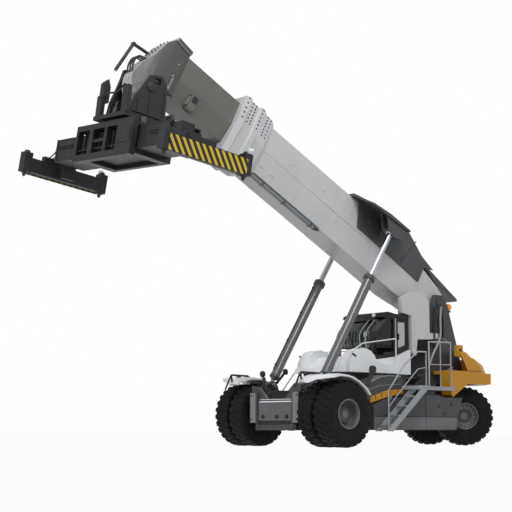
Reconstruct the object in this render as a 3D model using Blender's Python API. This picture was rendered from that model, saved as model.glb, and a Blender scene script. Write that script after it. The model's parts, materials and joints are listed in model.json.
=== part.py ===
"""Reach stacker with a curved-foot telescopic boom and a 20 to 40 foot top spreader.

X points forward, Y to the driver's left, Z up; metres. The front axle is at X = 0 while the
pieces are built, and the whole machine is shifted at the end so that its box is centred.
"""
import math

import bmesh
import bpy
from mathutils import Matrix, Vector

# Wheels
TYRE_R = 0.82
TYRE_W = 0.50
RIM_R = 0.355
LUGS = 26
LUG_DEPTH = 0.045
FRONT_OUTER_Y = 1.864
DUAL_PITCH = 0.56
REAR_AXLE_X = -6.02
KINGPIN_Y = 0.52
WHEEL_OFFSET = 0.42
REST_STEER = math.radians(-36.0)

# Boom: the slope line starts at DATUM and rises forward at BOOM_ANGLE
BOOM_ANGLE = math.radians(27.5)
DATUM = Vector((-5.2, 0.0, 3.95))
PIVOT = Vector((-5.1, 0.0, 4.0))
WALL = 0.03
SLIDE_GAP = 0.006
OUTER_END = 8.45
COLLAR_END = 8.60
INNER_TAIL = 2.50
BORE_START = 1.20
INNER_END = 10.42
HEAD_S = 11.08
HEAD_T = -0.72

# Lift cylinders
CYL_Y = 0.95
EYE_HALF = 0.08
CYL_FOOT = Vector((-0.118, 0.0, 1.563))
CYL_EYE = Vector((-2.80, 0.0, 5.75))
BARREL_R = 0.123
BARREL_LEN = 3.44
ROD_R = 0.6 * BARREL_R
ROD_LEN = 3.15

# Spreader, hanging from the head pin, ISO 20 foot corner spacing
HANG_PITCH = math.radians(7.0)
HANG_ROLL = math.radians(-4.0)
HANG_X = -0.10
TRUNK_TOP = -1.12
TRUNK_BOTTOM = -1.68
TRUNK_END = 2.35
TRUNK_BACK = -0.20
TRUNK_FRONT = 0.66
TRUNK_WALL = 0.04
LOCK_X = 2.259 / 2
LOCK_Y = 5.853 / 2
BEAM_TOP = -1.62
BEAM_BOTTOM = -2.00

# Chassis
FRAME_Y = 0.66
TANK_Y = 1.62
DECK_Z = 1.58
SEAT_GAP = 0.0003
CAB_SEAT_Z = 1.92
BAY_Y = 0.72
BAY_REAR = -6.14
TYRE_TOP = 2 * TYRE_R
REAR_DECK_Z = TYRE_TOP + 0.08
KINGPIN_HALF = 0.265

# Cab
CAB_HALF = 0.70
CAB_REAR = -3.69
CAB_WALL = 0.04
GLASS = 0.012
DOOR_FRONT = -3.24
DOOR_REAR = -3.66
DOOR_GAP = 0.006

for leftover in list(bpy.data.objects):
    bpy.data.objects.remove(leftover, do_unlink=True)
parts = bpy.data.collections.new("reach_stacker")
bpy.context.scene.collection.children.link(parts)
scratch = bpy.data.collections.new("tools")
bpy.context.scene.collection.children.link(scratch)

COLOURS = {
    "white": ((0.66, 0.67, 0.68), 0.45, 0.1),
    "grey": ((0.09, 0.095, 0.10), 0.5, 0.2),
    "light_grey": ((0.28, 0.29, 0.30), 0.5, 0.2),
    "charcoal": ((0.03, 0.03, 0.032), 0.55, 0.2),
    "olive": ((0.13, 0.135, 0.12), 0.5, 0.3),
    "yellow": ((0.62, 0.31, 0.015), 0.4, 0.1),
    "rubber": ((0.012, 0.012, 0.012), 0.85, 0.0),
    "steel": ((0.62, 0.62, 0.62), 0.2, 1.0),
    "glass": ((0.03, 0.035, 0.03), 0.1, 0.0),
    "amber": ((0.75, 0.28, 0.01), 0.3, 0.0),
    "black": ((0.01, 0.01, 0.01), 0.6, 0.0),
    "hazard": ((0.60, 0.48, 0.04), 0.4, 0.0),
}


def paint(obj, colour):
    rgb, rough, metal = COLOURS[colour]
    mat = bpy.data.materials.new(obj.name + "_paint")
    mat.use_nodes = True
    shader = mat.node_tree.nodes["Principled BSDF"]
    shader.inputs["Base Color"].default_value = (*rgb, 1.0)
    shader.inputs["Roughness"].default_value = rough
    shader.inputs["Metallic"].default_value = metal
    mat.diffuse_color = (*rgb, 1.0)
    obj.data.materials.clear()
    obj.data.materials.append(mat)


def solid(points, faces):
    """A closed helper mesh, its faces turned outward."""
    mesh = bpy.data.meshes.new("tmp")
    mesh.from_pydata([tuple(p) for p in points], [], faces)
    bm = bmesh.new()
    bm.from_mesh(mesh)
    bmesh.ops.connect_verts_nonplanar(bm, angle_limit=0.0005, faces=bm.faces)
    bmesh.ops.recalc_face_normals(bm, faces=bm.faces)
    bm.to_mesh(mesh)
    bm.free()
    obj = bpy.data.objects.new("tmp", mesh)
    scratch.objects.link(obj)
    return obj


def skin(rings, cap=True, closed=False):
    """Quads between rings of equal length, with the ends capped."""
    n = len(rings[0])
    points = [p for ring in rings for p in ring]
    faces = []
    spans = len(rings) if closed else len(rings) - 1
    for i in range(spans):
        a = i * n
        b = ((i + 1) % len(rings)) * n
        for k in range(n):
            k2 = (k + 1) % n
            faces.append((a + k, a + k2, b + k2, b + k))
    if cap and not closed:
        faces.append(tuple(range(n)))
        faces.append(tuple((len(rings) - 1) * n + k for k in range(n)))
    return solid(points, faces)


def prism(outline, axis, low, high):
    """Extrudes a 2-D outline along x, y or z."""
    def point(a, b, c):
        return {"x": (c, a, b), "y": (a, c, b), "z": (a, b, c)}[axis]
    return skin([[point(a, b, low) for a, b in outline], [point(a, b, high) for a, b in outline]])


def block(x0, x1, y0, y1, z0, z1):
    return prism([(x0, z0), (x1, z0), (x1, z1), (x0, z1)], "y", y0, y1)


def turned(start, direction, profile, sides=16):
    """A solid of revolution: profile of (distance, radius) along a direction from start."""
    start = Vector(start)
    axis = Vector(direction).normalized()
    side = axis.orthogonal().normalized()
    other = axis.cross(side)
    rings = []
    for dist, radius in profile:
        ring = []
        for k in range(sides):
            a = 2 * math.pi * (k + 0.5) / sides
            ring.append(start + axis * dist + (side * math.cos(a) + other * math.sin(a)) * radius)
        rings.append(ring)
    return skin(rings)


def rod(p0, p1, radius, sides=10):
    p0, p1 = Vector(p0), Vector(p1)
    return turned(p0, p1 - p0, [(0.0, radius), ((p1 - p0).length, radius)], sides)


def pipe(path, radius, sides=6):
    """A bent round bar through the points of the path, mitred at its bends."""
    path = [Vector(p) for p in path]
    first = (path[1] - path[0]).normalized()
    side = first.orthogonal().normalized()
    rings = []
    for i, p in enumerate(path):
        before = (p - path[i - 1]).normalized() if i else first
        after = (path[i + 1] - p).normalized() if i + 1 < len(path) else before
        if i:
            side = before.rotation_difference(after).slerp(
                before.rotation_difference(before), 0.5) @ side
        tangent = (before + after).normalized()
        side = (side - tangent * side.dot(tangent)).normalized()
        other = tangent.cross(side)
        stretch = 1.0 / max(0.4, tangent.dot(after))
        bend = (after - before)
        ring = []
        for k in range(sides):
            a = 2 * math.pi * (k + 0.5) / sides
            offset = (side * math.cos(a) + other * math.sin(a)) * radius
            if bend.length > 1e-6:
                b = bend.normalized()
                offset += b * offset.dot(b) * (stretch - 1.0)
            ring.append(p + offset)
        rings.append(ring)
    return skin(rings)


def apply_boolean(base, others, operation):
    group = bpy.data.collections.new("operands")
    for other in others:
        group.objects.link(other)
    mod = base.modifiers.new("bool", "BOOLEAN")
    mod.operation = operation
    mod.solver = "EXACT"
    mod.use_self = False
    mod.operand_type = "COLLECTION"
    mod.collection = group
    depsgraph = bpy.context.evaluated_depsgraph_get()
    result = bpy.data.meshes.new_from_object(base.evaluated_get(depsgraph))
    for other in others:
        bpy.data.objects.remove(other, do_unlink=True)
    bpy.data.objects.remove(base, do_unlink=True)
    bpy.data.collections.remove(group)
    bm = bmesh.new()
    bm.from_mesh(result)
    bmesh.ops.remove_doubles(bm, verts=bm.verts, dist=1e-5)
    bmesh.ops.dissolve_limit(bm, angle_limit=0.002, verts=bm.verts, edges=bm.edges)
    bmesh.ops.dissolve_degenerate(bm, edges=bm.edges, dist=1e-5)
    loose = [edge for edge in bm.edges if not edge.link_faces]
    bmesh.ops.delete(bm, geom=loose, context="EDGES")
    bm.to_mesh(result)
    bm.free()
    obj = bpy.data.objects.new("tmp", result)
    scratch.objects.link(obj)
    return obj


def fuse(pieces):
    return apply_boolean(pieces[0], pieces[1:], "UNION") if len(pieces) > 1 else pieces[0]


def cut(base, cutters):
    return apply_boolean(base, cutters, "DIFFERENCE")


def move(obj, matrix):
    obj.data.transform(matrix)
    return obj


def mirror(obj):
    """Turns a piece over to the other side of the machine."""
    obj.data.transform(Matrix.Diagonal((1, -1, 1, 1)))
    obj.data.flip_normals()
    return obj


def span(side, a, b):
    """Distances a and b on one side of the machine, as low and high Y."""
    return tuple(sorted((side * a, side * b)))


def finish(obj, name, colour, origin=(0.0, 0.0, 0.0)):
    """Names a piece, puts its origin on its joint axis and colours it."""
    origin = Vector(origin)
    obj.data.transform(Matrix.Translation(-origin))
    obj.location = origin
    obj.name = name
    obj.data.name = name
    scratch.objects.unlink(obj)
    parts.objects.link(obj)
    for poly in obj.data.polygons:
        poly.use_smooth = False
    paint(obj, colour)
    return obj


def boom(s, y, t):
    """Boom coordinates: s along it, t across it and up, to machine coordinates."""
    ca, sa = math.cos(BOOM_ANGLE), math.sin(BOOM_ANGLE)
    return DATUM + Vector((s * ca - t * sa, y, s * sa + t * ca))


HEAD_PIN = boom(HEAD_S, 0.0, HEAD_T)
HANG = Matrix.Translation(HEAD_PIN) @ Matrix.Rotation(-HANG_PITCH, 4, "Y")
SPREADER = HANG @ Matrix.Rotation(HANG_ROLL, 4, "X") @ Matrix.Translation((HANG_X, 0.0, 0.0))
STEER = {side: (Matrix.Translation((REAR_AXLE_X, side * KINGPIN_Y, TYRE_R))
                @ Matrix.Rotation(REST_STEER, 4, "Z")) for side in (1, -1)}


# Tyres and rims
def tyre(centres):
    """One lathe-like ring of tyres along Y, its shoulders notched into lugs."""
    half = TYRE_W / 2
    rings = []
    steps = 2 * LUGS
    for i in range(steps):
        a = 2 * math.pi * i / steps
        drop = LUG_DEPTH if i % 2 else 0.0
        ring = []
        for y in centres:
            ring += [
                (y + half - 0.035, RIM_R),
                (y + half, TYRE_R - 0.20),
                (y + half, TYRE_R - 0.075 - drop * 0.6),
                (y + half - 0.03, TYRE_R - drop),
                (y, TYRE_R),
                (y - half + 0.03, TYRE_R - drop),
                (y - half, TYRE_R - 0.075 - drop * 0.6),
                (y - half, TYRE_R - 0.20),
                (y - half + 0.035, RIM_R),
            ]
        if len(centres) == 2:
            ring[8] = (ring[8][0], RIM_R + 0.03)
            ring[9] = (ring[9][0], RIM_R + 0.03)
        rings.append([Vector((r * math.cos(a), y, r * math.sin(a))) for y, r in ring])
    return skin(rings, closed=True)


def rim(face, back, dish, hub_r, hub_out):
    """A dished rim between y = back and y = face, turned about Y."""
    lip = RIM_R + 0.012
    bore = RIM_R * math.cos(math.pi / (2 * LUGS)) - 0.0005
    profile = [
        (back, 0.001), (back, bore), (face - 0.030, bore),
        (face - 0.030, lip), (face - 0.005, lip), (face - 0.005, lip - 0.035),
        (dish, lip - 0.06), (dish, hub_r), (hub_out, hub_r * 0.92), (hub_out, 0.001),
    ]
    return turned((0, 0, 0), (0, 1, 0), profile, 28)


for side, word in ((1, "left"), (-1, "right")):
    centre = (0.0, side * FRONT_OUTER_Y, TYRE_R)
    ring = tyre([0.0, -DUAL_PITCH])
    wheel = rim(TYRE_W / 2, -DUAL_PITCH - TYRE_W / 2 + 0.04, -0.02, 0.17, 0.06)
    if side < 0:
        ring = mirror(ring)
        wheel = mirror(wheel)
    place = Matrix.Translation(centre)
    finish(move(ring, place), "tyres_front_" + word, "rubber", centre)
    finish(move(wheel, place), "rim_front_" + word, "light_grey", centre)

    hub = STEER[side] @ Vector((0.0, side * WHEEL_OFFSET, 0.0))
    ring = tyre([0.0])
    wheel = rim(TYRE_W / 2, -TYRE_W / 2 + 0.035, 0.14, 0.19, 0.05)
    if side < 0:
        ring = mirror(ring)
        wheel = mirror(wheel)
    place = STEER[side] @ Matrix.Translation((0.0, side * WHEEL_OFFSET, 0.0))
    finish(move(ring, place), "tyre_rear_" + word, "rubber", hub)
    finish(move(wheel, place), "rim_rear_" + word, "light_grey", hub)

# Steering knuckles: kingpin barrel, arm and stub axle
for side, word in ((1, "left"), (-1, "right")):
    stub_end = side * (WHEEL_OFFSET - TYRE_W / 2 + 0.035 - SEAT_GAP)
    knuckle = fuse([
        rod((0, 0, SEAT_GAP - KINGPIN_HALF), (0, 0, KINGPIN_HALF - SEAT_GAP), 0.10, 14),
        block(-0.09, 0.09, min(0, stub_end), max(0, stub_end), -0.12, 0.12),
        block(0.05, 0.36, -0.03, 0.03, -0.24, -0.18),
    ])
    finish(move(knuckle, STEER[side]), "knuckle_" + word, "charcoal",
           (REAR_AXLE_X, side * KINGPIN_Y, TYRE_R))

# Axles
HUB_BACK = FRONT_OUTER_Y - DUAL_PITCH - TYRE_W / 2 + 0.04 - SEAT_GAP
front_axle = turned((0, -HUB_BACK, TYRE_R), (0, 1, 0),
                    [(0, 0.22), (0.20, 0.22), (0.32, 0.17), (HUB_BACK - 0.34, 0.17),
                     (HUB_BACK - 0.22, 0.30),
                     (HUB_BACK + 0.22, 0.30), (HUB_BACK + 0.34, 0.17), (2 * HUB_BACK - 0.32, 0.17),
                     (2 * HUB_BACK - 0.20, 0.22), (2 * HUB_BACK, 0.22)], 18)
axle_fork = [
    block(REAR_AXLE_X - 0.12, REAR_AXLE_X + 0.12, -KINGPIN_Y - 0.09, KINGPIN_Y + 0.09, low_z, high_z)
    for low_z, high_z in ((TYRE_R + KINGPIN_HALF, TYRE_R + KINGPIN_HALF + 0.065),
                          (TYRE_R - KINGPIN_HALF - 0.065, TYRE_R - KINGPIN_HALF))
]
rear_axle = fuse(axle_fork + [
    block(REAR_AXLE_X - 0.15, REAR_AXLE_X + 0.15, 0.12 - KINGPIN_Y, KINGPIN_Y - 0.12,
          TYRE_R - 0.16, TYRE_R + 0.16),
    block(REAR_AXLE_X - 0.13, REAR_AXLE_X + 0.13, -0.30, 0.30, TYRE_R - 0.32, TYRE_R + 0.32),
    rod((REAR_AXLE_X - 0.30, 0, TYRE_R + 0.40), (REAR_AXLE_X + 0.30, 0, TYRE_R + 0.40), 0.11, 12),
    block(REAR_AXLE_X - 0.13, REAR_AXLE_X + 0.13, -0.16, 0.16, TYRE_R + 0.28, TYRE_R + 0.40),
    rod((REAR_AXLE_X - 0.24, -0.30, TYRE_R - 0.02), (REAR_AXLE_X - 0.24, 0.30, TYRE_R - 0.02), 0.075, 12),
    block(REAR_AXLE_X - 0.24, REAR_AXLE_X, -0.08, 0.08, TYRE_R - 0.08, TYRE_R + 0.04),
])
finish(rear_axle, "rear_axle", "charcoal")

# Main frame: two rails, cross-members, the deck over the rear wheels and the foot brackets
rail = [(0.56, 0.46), (0.56, 1.20), (0.10, 1.45), (-0.60, 1.45), (-1.2, 1.20), (-3.6, 1.20),
        (-4.3, 1.95), (-6.25, 1.95), (-6.25, REAR_DECK_Z), (-4.85, REAR_DECK_Z), (-4.75, 1.30), (-4.62, 0.46)]
foot_lug = [(-0.40, 1.20), (0.16, 1.20), (0.12, 1.56), (-0.04, 1.68), (-0.17, 1.68), (-0.25, 1.58)]
FRONT_HALF = 0.66
LUG_IN = CYL_Y - EYE_HALF - SEAT_GAP
LUG_OUT = CYL_Y + 0.05 + SEAT_GAP
LUG_EDGE = CYL_Y + 0.095
frame_pieces = [front_axle]
for side in (1, -1):
    frame_pieces += [
        prism(rail, "y", side * FRAME_Y - 0.04, side * FRAME_Y + 0.04),
        prism(foot_lug, "y", *span(side, LUG_IN - 0.08, LUG_IN)),
        prism(foot_lug, "y", *span(side, LUG_OUT, LUG_EDGE)),
        block(-0.72, 0.16, *span(side, FRAME_Y - 0.02, LUG_EDGE), 1.22, 1.32),
        block(-0.02, 0.06, *span(side, LUG_OUT, LUG_EDGE), 1.50, 2.19 * TYRE_R),
        block(-0.45, 0.56, *span(side, FRAME_Y - 0.02, 0.98), 1.12, 1.20),
        block(0.50, 0.59, *span(side, FRONT_HALF, 0.93), 0.60, 1.38),
        prism([(side * 0.93, 1.55), (side * 0.93, 1.15), (side * 0.27, 1.15), (side * 0.64, 1.52)],
              "x", 0.46, 0.52),
    ]
frame_pieces += [
    block(-3.60, -1.10, -0.70, 0.70, 1.15, CAB_SEAT_Z - SEAT_GAP),
    block(0.38, 0.55, -0.70, 0.70, 0.66, 1.19),
    block(0.20, 0.54, -0.76, 0.76, 0.42, 0.56),
    block(-0.85, -0.65, -0.70, 0.70, 0.46, 1.10),
    block(-3.60, -3.45, -0.70, 0.70, 0.46, 1.10),
    block(-4.60, -1.00, -0.70, 0.70, 0.44, 0.50),
    block(-6.25, -4.10, -0.70, 0.70, 1.88, 1.96),
    block(-6.395, -6.20, -0.52, 0.52, REAR_DECK_Z, 1.96),
    block(REAR_AXLE_X - 0.38, REAR_AXLE_X - 0.3003, -0.2, 0.2, TYRE_R + 0.26, 1.90),
    block(REAR_AXLE_X + 0.3003, REAR_AXLE_X + 0.38, -0.2, 0.2, TYRE_R + 0.26, 1.90),
]
finish(fuse(frame_pieces), "main_frame", "grey")

# Fenders over the dual wheels, with a lamp rail and marker stalks; distances in tyre radii
ARCH = [(1.05, 1.95), (0.98, 2.07), (0.49, 2.195), (0.10, 2.165), (-0.16, 2.11), (-0.42, 1.99), (-0.72, 1.80),
        (-0.90, 1.595), (-0.855, 1.572), (-0.685, 1.768), (-0.40, 1.95), (-0.14, 2.065), (0.10, 2.11),
        (0.43, 2.115), (0.88, 2.01), (0.98, 1.915)]
STALKS = {
    # path of the rod, its radius, radius of the ball at its end
    1: [([(-0.62, 2.08, 1.43), (-0.70, 2.08, 1.60), (-0.846, 2.09, 1.93)], 0.045, 0.085)],
    -1: [([(-0.10, -1.20, 1.74), (-0.084, -1.20, 1.89)], 0.022, 0.068),
         ([(-0.34, -1.16, 1.63), (-0.56, -1.16, 1.67), (-0.863, -1.16, 1.97)], 0.032, 0.066)],
}
for side, word in ((1, "left"), (-1, "right")):
    arch = [(x * TYRE_R, z * TYRE_R) for x, z in ARCH]
    low, high = sorted((side * 1.13, side * 2.14))
    ya, yb = sorted((side * (LUG_EDGE + SEAT_GAP), side * 1.15))
    plate = cut(prism(arch, "y", low, high), [
        prism([(1.1, side * 1.30), (0.90, side * 1.30), (0.42, side * 2.3), (1.1, side * 2.3)], "z", 1.3, 2.2)])
    fender = [plate, block(-0.02, 0.06, ya, yb, 2.12 * TYRE_R, 2.18 * TYRE_R)]
    for x in (0.40, 0.10):
        fender.append(rod((x, side * 1.62, 1.74), (x, side * 1.62, 1.84), 0.070, 10))
    for path, thick, ball in STALKS[side]:
        fender.append(pipe(path, thick, 6))
        fender.append(turned(Vector(path[-1]) - Vector((0, 0, ball)), (0, 0, 1),
                             [(0, ball * 0.5), (ball * 0.5, ball * 0.95), (ball * 1.4, ball * 0.95),
                              (ball * 2, ball * 0.4)], 10))
    fender.append(pipe([(0.86, side * 1.32, 1.62), (0.90, side * 1.32, 1.84), (0.33, side * 1.32, 1.83),
                        (0.33, side * 1.32, 1.74)], 0.02, 5))
    finish(fuse(fender), "fender_" + word, "white")

# Tanks along both sides, with the arch box behind the front wheel and the yellow cover on it
tank = [(-1.36, 0.43), (-1.36, 1.05), (-1.8, 1.20), (-3.28, 1.36), (-3.90, 1.36), (-4.10, 1.30),
        (-4.84, 1.30), (-4.51, 0.43)]
box = [(-1.12, 1.10), (-1.21, 1.47), (-1.43, 1.68), (-1.97, 1.85), (-2.6, 1.85), (-2.6, 1.10)]
strip = [(-1.38, 1.12), (-1.42, 1.28), (-1.97, 1.44), (-2.58, 1.50), (-2.58, 1.38), (-2.0, 1.28)]
BOX_Y = 1.45
for side, word in ((1, "left"), (-1, "right")):
    body = fuse([prism(tank, "y", *span(side, FRAME_Y + 0.0403, TANK_Y)), prism(box, "y", *span(side, 0.90, BOX_Y))])
    finish(body, "side_tank_" + word, "grey")
    finish(prism(strip, "y", *span(side, BOX_Y + SEAT_GAP, BOX_Y + 0.06)), "side_strip_" + word, "yellow")

# Platform, stairs and handrails of each side, one welded piece
STEPS = 4
DECK_PLAN = [(-2.62, 1.02), (-2.62, 2.06), (-3.06, 2.06), (-3.20, 1.72), (-4.42, 1.72), (-4.42, 1.02)]
for side, word in ((1, "left"), (-1, "right")):
    access = [
        prism([(x, side * y) for x, y in DECK_PLAN], "z", DECK_Z - 0.10, DECK_Z),
        block(-3.80, -3.40, *span(side, 1.10, 1.30), 1.36 + SEAT_GAP, DECK_Z - 0.05),
    ]
    for y in (1.66, 2.06):
        access.append(prism([(-1.40, 0.40), (-1.62, 0.40), (-3.00, 1.52), (-2.74, 1.52)], "y", *span(side, y, y - 0.03)))
    for k in range(STEPS):
        x = -1.66 - 0.30 * k
        z = 0.56 + 0.25 * k
        access.append(block(x - 0.14, x + 0.12, *span(side, 1.65, 2.05), z - 0.03, z))
    y = side * 2.03
    deck_y = side * 1.66
    access += [
        pipe([(-1.48, y, 0.46), (-1.48, y, 1.42), (-2.10, y, 2.11), (-2.60, y, 2.45), (-2.92, y, 2.45),
              (-2.92, y, DECK_Z - 0.02)], 0.02, 5),
        pipe([(-1.48, y, 1.00), (-1.86, y, 1.36), (-2.60, y, 2.0), (-2.92, y, 2.05)], 0.016, 5),
        pipe([(-3.46, deck_y, DECK_Z - 0.02), (-3.46, deck_y, 2.76), (-4.34, deck_y, 2.78),
              (-4.34, deck_y, DECK_Z - 0.02)], 0.022, 5),
        pipe([(-3.46, deck_y, 2.16), (-4.34, deck_y, 2.18)], 0.016, 5),
        pipe([(-3.92, deck_y, DECK_Z - 0.02), (-3.92, deck_y, 2.77)], 0.018, 5),
    ]
    finish(fuse(access), "access_" + word, "light_grey")

# Tower that carries the boom pivot
tower_pieces = []
for side in (1, -1):
    cheek = prism([(-4.45, 1.965), (-4.70, 3.0), (-4.80, 3.95), (-4.92, 4.20), (-5.25, 4.20), (-5.42, 3.95),
                   (-6.08, 2.02), (-6.08, 1.965)], "y", *span(side, 0.53, 0.65))
    tower_pieces += [
        cheek,
        block(-5.60, -5.30, *span(side, 0.56, 0.62), 3.74, 3.80),
        prism([(-4.44, 1.965), (-4.80, 1.965), (-4.95, 2.9), (-4.72, 2.9)], "y", *span(side, 0.64, 0.714)),
    ]
tower_pieces += [
    prism([(-4.55, 1.965), (-4.80, 3.2), (-4.95, 3.2), (-4.75, 1.965)], "y", -0.6, 0.6),
    prism([(-5.60, 3.05), (-5.66, 3.05), (-6.08, 2.0), (-6.0, 2.0)], "y", -0.6, 0.6),
    block(-6.05, -4.5, -0.6, 0.6, 1.9605, 2.03),
]
tower = cut(fuse(tower_pieces), [rod((PIVOT.x, -1, PIVOT.z), (PIVOT.x, 1, PIVOT.z), 0.1003, 32)])
finish(tower, "tower", "grey")
for side, word in ((1, "left"), (-1, "right")):
    beacon = turned((-5.55, side * 0.59, 3.80 + SEAT_GAP), (0, 0, 1),
                    [(0, 0.03), (0.03, 0.03), (0.03, 0.075), (0.14, 0.075), (0.18, 0.05)], 12)
    finish(beacon, "beacon_" + word, "amber")
cover_lower = [(-4.52, 3.10), (-4.88, 3.10), (-4.88, 2.96), (-4.52, 2.92), (-4.02, 2.90),
               (-3.95, 2.44), (-3.78, 2.52)]
cover_upper = {
    "left": [(-3.78, 3.54), (-3.42, 3.60), (-3.36, 4.00), (-3.80, 4.20), (-4.30, 4.20), (-4.52, 3.95)],
    "right": [(-3.78, 3.46), (-4.46, 3.46)],
}
for side, word in ((1, "left"), (-1, "right")):
    cover = prism(cover_lower + cover_upper[word], "y", side * 0.7103 - 0.06, side * 0.7103 + 0.06)
    finish(cover, "tower_cover_" + word, "white")

# Counterweight: a U open to the front, round the engine bay, in levels
WEIGHT_LEVELS = [
    # z, nose at the side, nose at the bay, side corner x, y, mid corner x, y, rear corner x, y
    (1.9603, -4.72, -4.72, -6.02, 1.45, -6.62, 1.05, -6.93, 0.50),
    (2.06, -4.72, -4.72, -5.90, 1.45, -6.56, 1.05, -6.88, 0.50),
    (2.0603, -5.30, -5.92, -5.90, 1.45, -6.56, 1.05, -6.88, 0.50),
    (2.26, -5.20, -5.92, -5.78, 1.44, -6.44, 1.04, -6.74, 0.50),
    (2.42, -5.12, -5.92, -5.55, 1.41, -6.18, 1.00, -6.46, 0.50),
]


def level(z, nose, bay_nose, x1, y1, x2, y2, x3, y3):
    near = [(nose, y1), (x1, y1), (x2, y2), (x3, y3)]
    ring = near + [(x, -y) for x, y in reversed(near)]
    ring += [(bay_nose, -BAY_Y), (BAY_REAR, -BAY_Y), (BAY_REAR, BAY_Y), (bay_nose, BAY_Y)]
    return [Vector((x, y, z)) for x, y in ring]


weight = skin([level(*row) for row in WEIGHT_LEVELS])
lobes = [prism([(-6.40, 1.16), (-6.62, 1.05), (-6.93, 0.50), (-6.93, -0.50), (-6.62, -1.05),
                (-6.40, -1.16)],
               "z", REAR_DECK_Z - 0.02, 2.0)]
CROWN_FOOT = [(-5.13, 1.40), (-5.54, 1.40), (-6.10, 1.0), (-6.10, 0.74), (-5.93, 0.74)]
CROWN_TOP = [(-5.02, 1.37), (-5.22, 1.37), (-5.86, 0.96), (-5.86, 0.76), (-5.66, 0.76)]
for side in (1, -1):
    crown = skin([[Vector((x, side * y, 2.40)) for x, y in CROWN_FOOT],
                  [Vector((x, side * y, 2.60)) for x, y in CROWN_TOP]])
    lobes += [
        crown,
        block(-5.22, -5.00, *span(side, 1.24, 1.36), 2.45, 2.76),
        prism([(-4.60, 1.38), (-4.66, 1.32), (-5.30, REAR_DECK_Z - 0.02), (-6.3, REAR_DECK_Z - 0.02),
               (-6.3, 2.0), (-4.60, 2.0)], "y", *span(side, 1.10, 1.45)),
        block(-6.55, -6.25, *span(side, 0.90, 1.12), REAR_DECK_Z - 0.02, 2.0),
    ]
finish(fuse([weight] + lobes), "counterweight", "yellow")

# Engine under the boom foot
finish(block(-4.40, -3.62, -0.42, 0.42, 0.5003, 1.50), "engine_block", "charcoal")

# Cab: a white body with a dome on each side, a black frame with the windows cut in it, glass, door, seat
body_side = [(-0.86, CAB_SEAT_Z), (-0.90, 2.05), (-1.38, 2.15), (-1.62, 2.36), (-2.05, 2.34), (-2.38, 2.29),
             (-3.13, 2.39), (CAB_REAR, 2.60), (CAB_REAR, CAB_SEAT_Z)]
dome = [(-1.14, CAB_SEAT_Z), (-1.17, 2.20), (-1.26, 2.37), (-1.43, 2.51), (-1.69, 2.56), (-1.93, 2.49),
        (-2.07, 2.37), (-2.14, 2.24), (-3.05, 2.06), (-3.05, CAB_SEAT_Z)]
FLOOR_Z = 2.05
RAIL_PATHS = {
    1: [(-1.27, 2.30), (-1.29, 2.46), (-1.70, 2.68), (-2.98, 2.86), (-2.98, 2.02)],
    -1: [(-1.22, 2.24), (-1.36, 2.44), (-2.15, 2.54), (-2.98, 2.60), (-2.98, 2.02)],
}
cab_body = fuse([prism(body_side, "y", -0.80, 0.80), prism(dome, "y", 0.62, 1.0), prism(dome, "y", -1.0, -0.62)]
                + [pipe([(x, side * 0.92, z) for x, z in path], 0.018, 5) for side, path in RAIL_PATHS.items()])
cab_well = prism([(-2.20, FLOOR_Z), (-2.14, 2.7), (CAB_REAR + 0.09, 2.7), (CAB_REAR + 0.09, FLOOR_Z)],
                 "y", -0.62, 0.62)
finish(cut(cab_body, [cab_well]), "cab_base", "white")

CAB_LEVELS = [(2.20, -2.24), (2.75, -2.12), (3.05, -2.14), (3.47, -2.58)]


def cab_ring(z, front, inset):
    near = [(CAB_REAR + inset, CAB_HALF - inset), (front - 0.35, CAB_HALF - inset),
            (front - 0.12 - 0.7 * inset, 0.56 - 0.7 * inset), (front - inset, 0.28)]
    return [Vector((x, y, z)) for x, y in near] + [Vector((x, -y, z)) for x, y in reversed(near)]


def cab_skin(inset, top):
    levels = CAB_LEVELS[:-1] + [(CAB_LEVELS[-1][0] + top, CAB_LEVELS[-1][1] - top)]
    return skin([cab_ring(z, front, inset) for z, front in levels])


def below_cab(gap):
    line = [(x, z + gap) for x, z in body_side[4:8]]
    ends = [(-4.2, line[-1][1] + 0.15), (-4.2, 1.8)]
    return prism([(-1.5, 1.8), (-1.5, line[0][1])] + line + ends, "y", -1.2, 1.2)


def door_hole(grow):
    outline = [(DOOR_FRONT + grow, 2.455 - grow), (DOOR_REAR - grow, 2.62 - grow), (DOOR_REAR - grow, 3.42 + grow),
               (DOOR_FRONT + grow, 3.42 + grow)]
    return prism(outline, "y", 0.45, 0.9)


side_window = [(-2.42, 2.38), (-3.15, 2.46), (-3.15, 3.42), (-2.98, 3.42), (-2.42, 2.86)]
rear_side_window = [(-3.27, 2.50), (-3.60, 2.64), (-3.60, 3.38), (-3.27, 3.38)]
roof = prism([(-2.60, 3.44), (-2.66, 3.52), (-2.85, 3.59), (-3.2, 3.54), (CAB_REAR, 3.50), (CAB_REAR, 3.44)],
             "y", -0.715, 0.715)
frame = cut(fuse([cab_skin(0.0, 0.0), roof]), [
    cab_skin(CAB_WALL, -CAB_WALL),
    below_cab(SEAT_GAP),
    block(-2.56, -1.9, -0.60, 0.60, 2.1, 3.34),
    prism(side_window, "y", -0.9, 0.9),
    prism(rear_side_window, "y", -0.9, -0.45),
    door_hole(0.0),
    block(CAB_REAR - 0.1, CAB_REAR + 0.15, -0.50, 0.50, 2.80, 3.36),
])
finish(frame, "cab_frame", "black")
glass = cut(cab_skin(CAB_WALL + SEAT_GAP, -CAB_WALL - SEAT_GAP), [
    cab_skin(CAB_WALL + SEAT_GAP + GLASS, -CAB_WALL - SEAT_GAP - GLASS),
    prism([(-1.5, 1.8), (-1.5, 2.60), (-4.2, 2.66), (-4.2, 1.8)], "y", -1.2, 1.2),
    door_hole(0.02),
])
finish(glass, "cab_glass", "glass")

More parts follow.
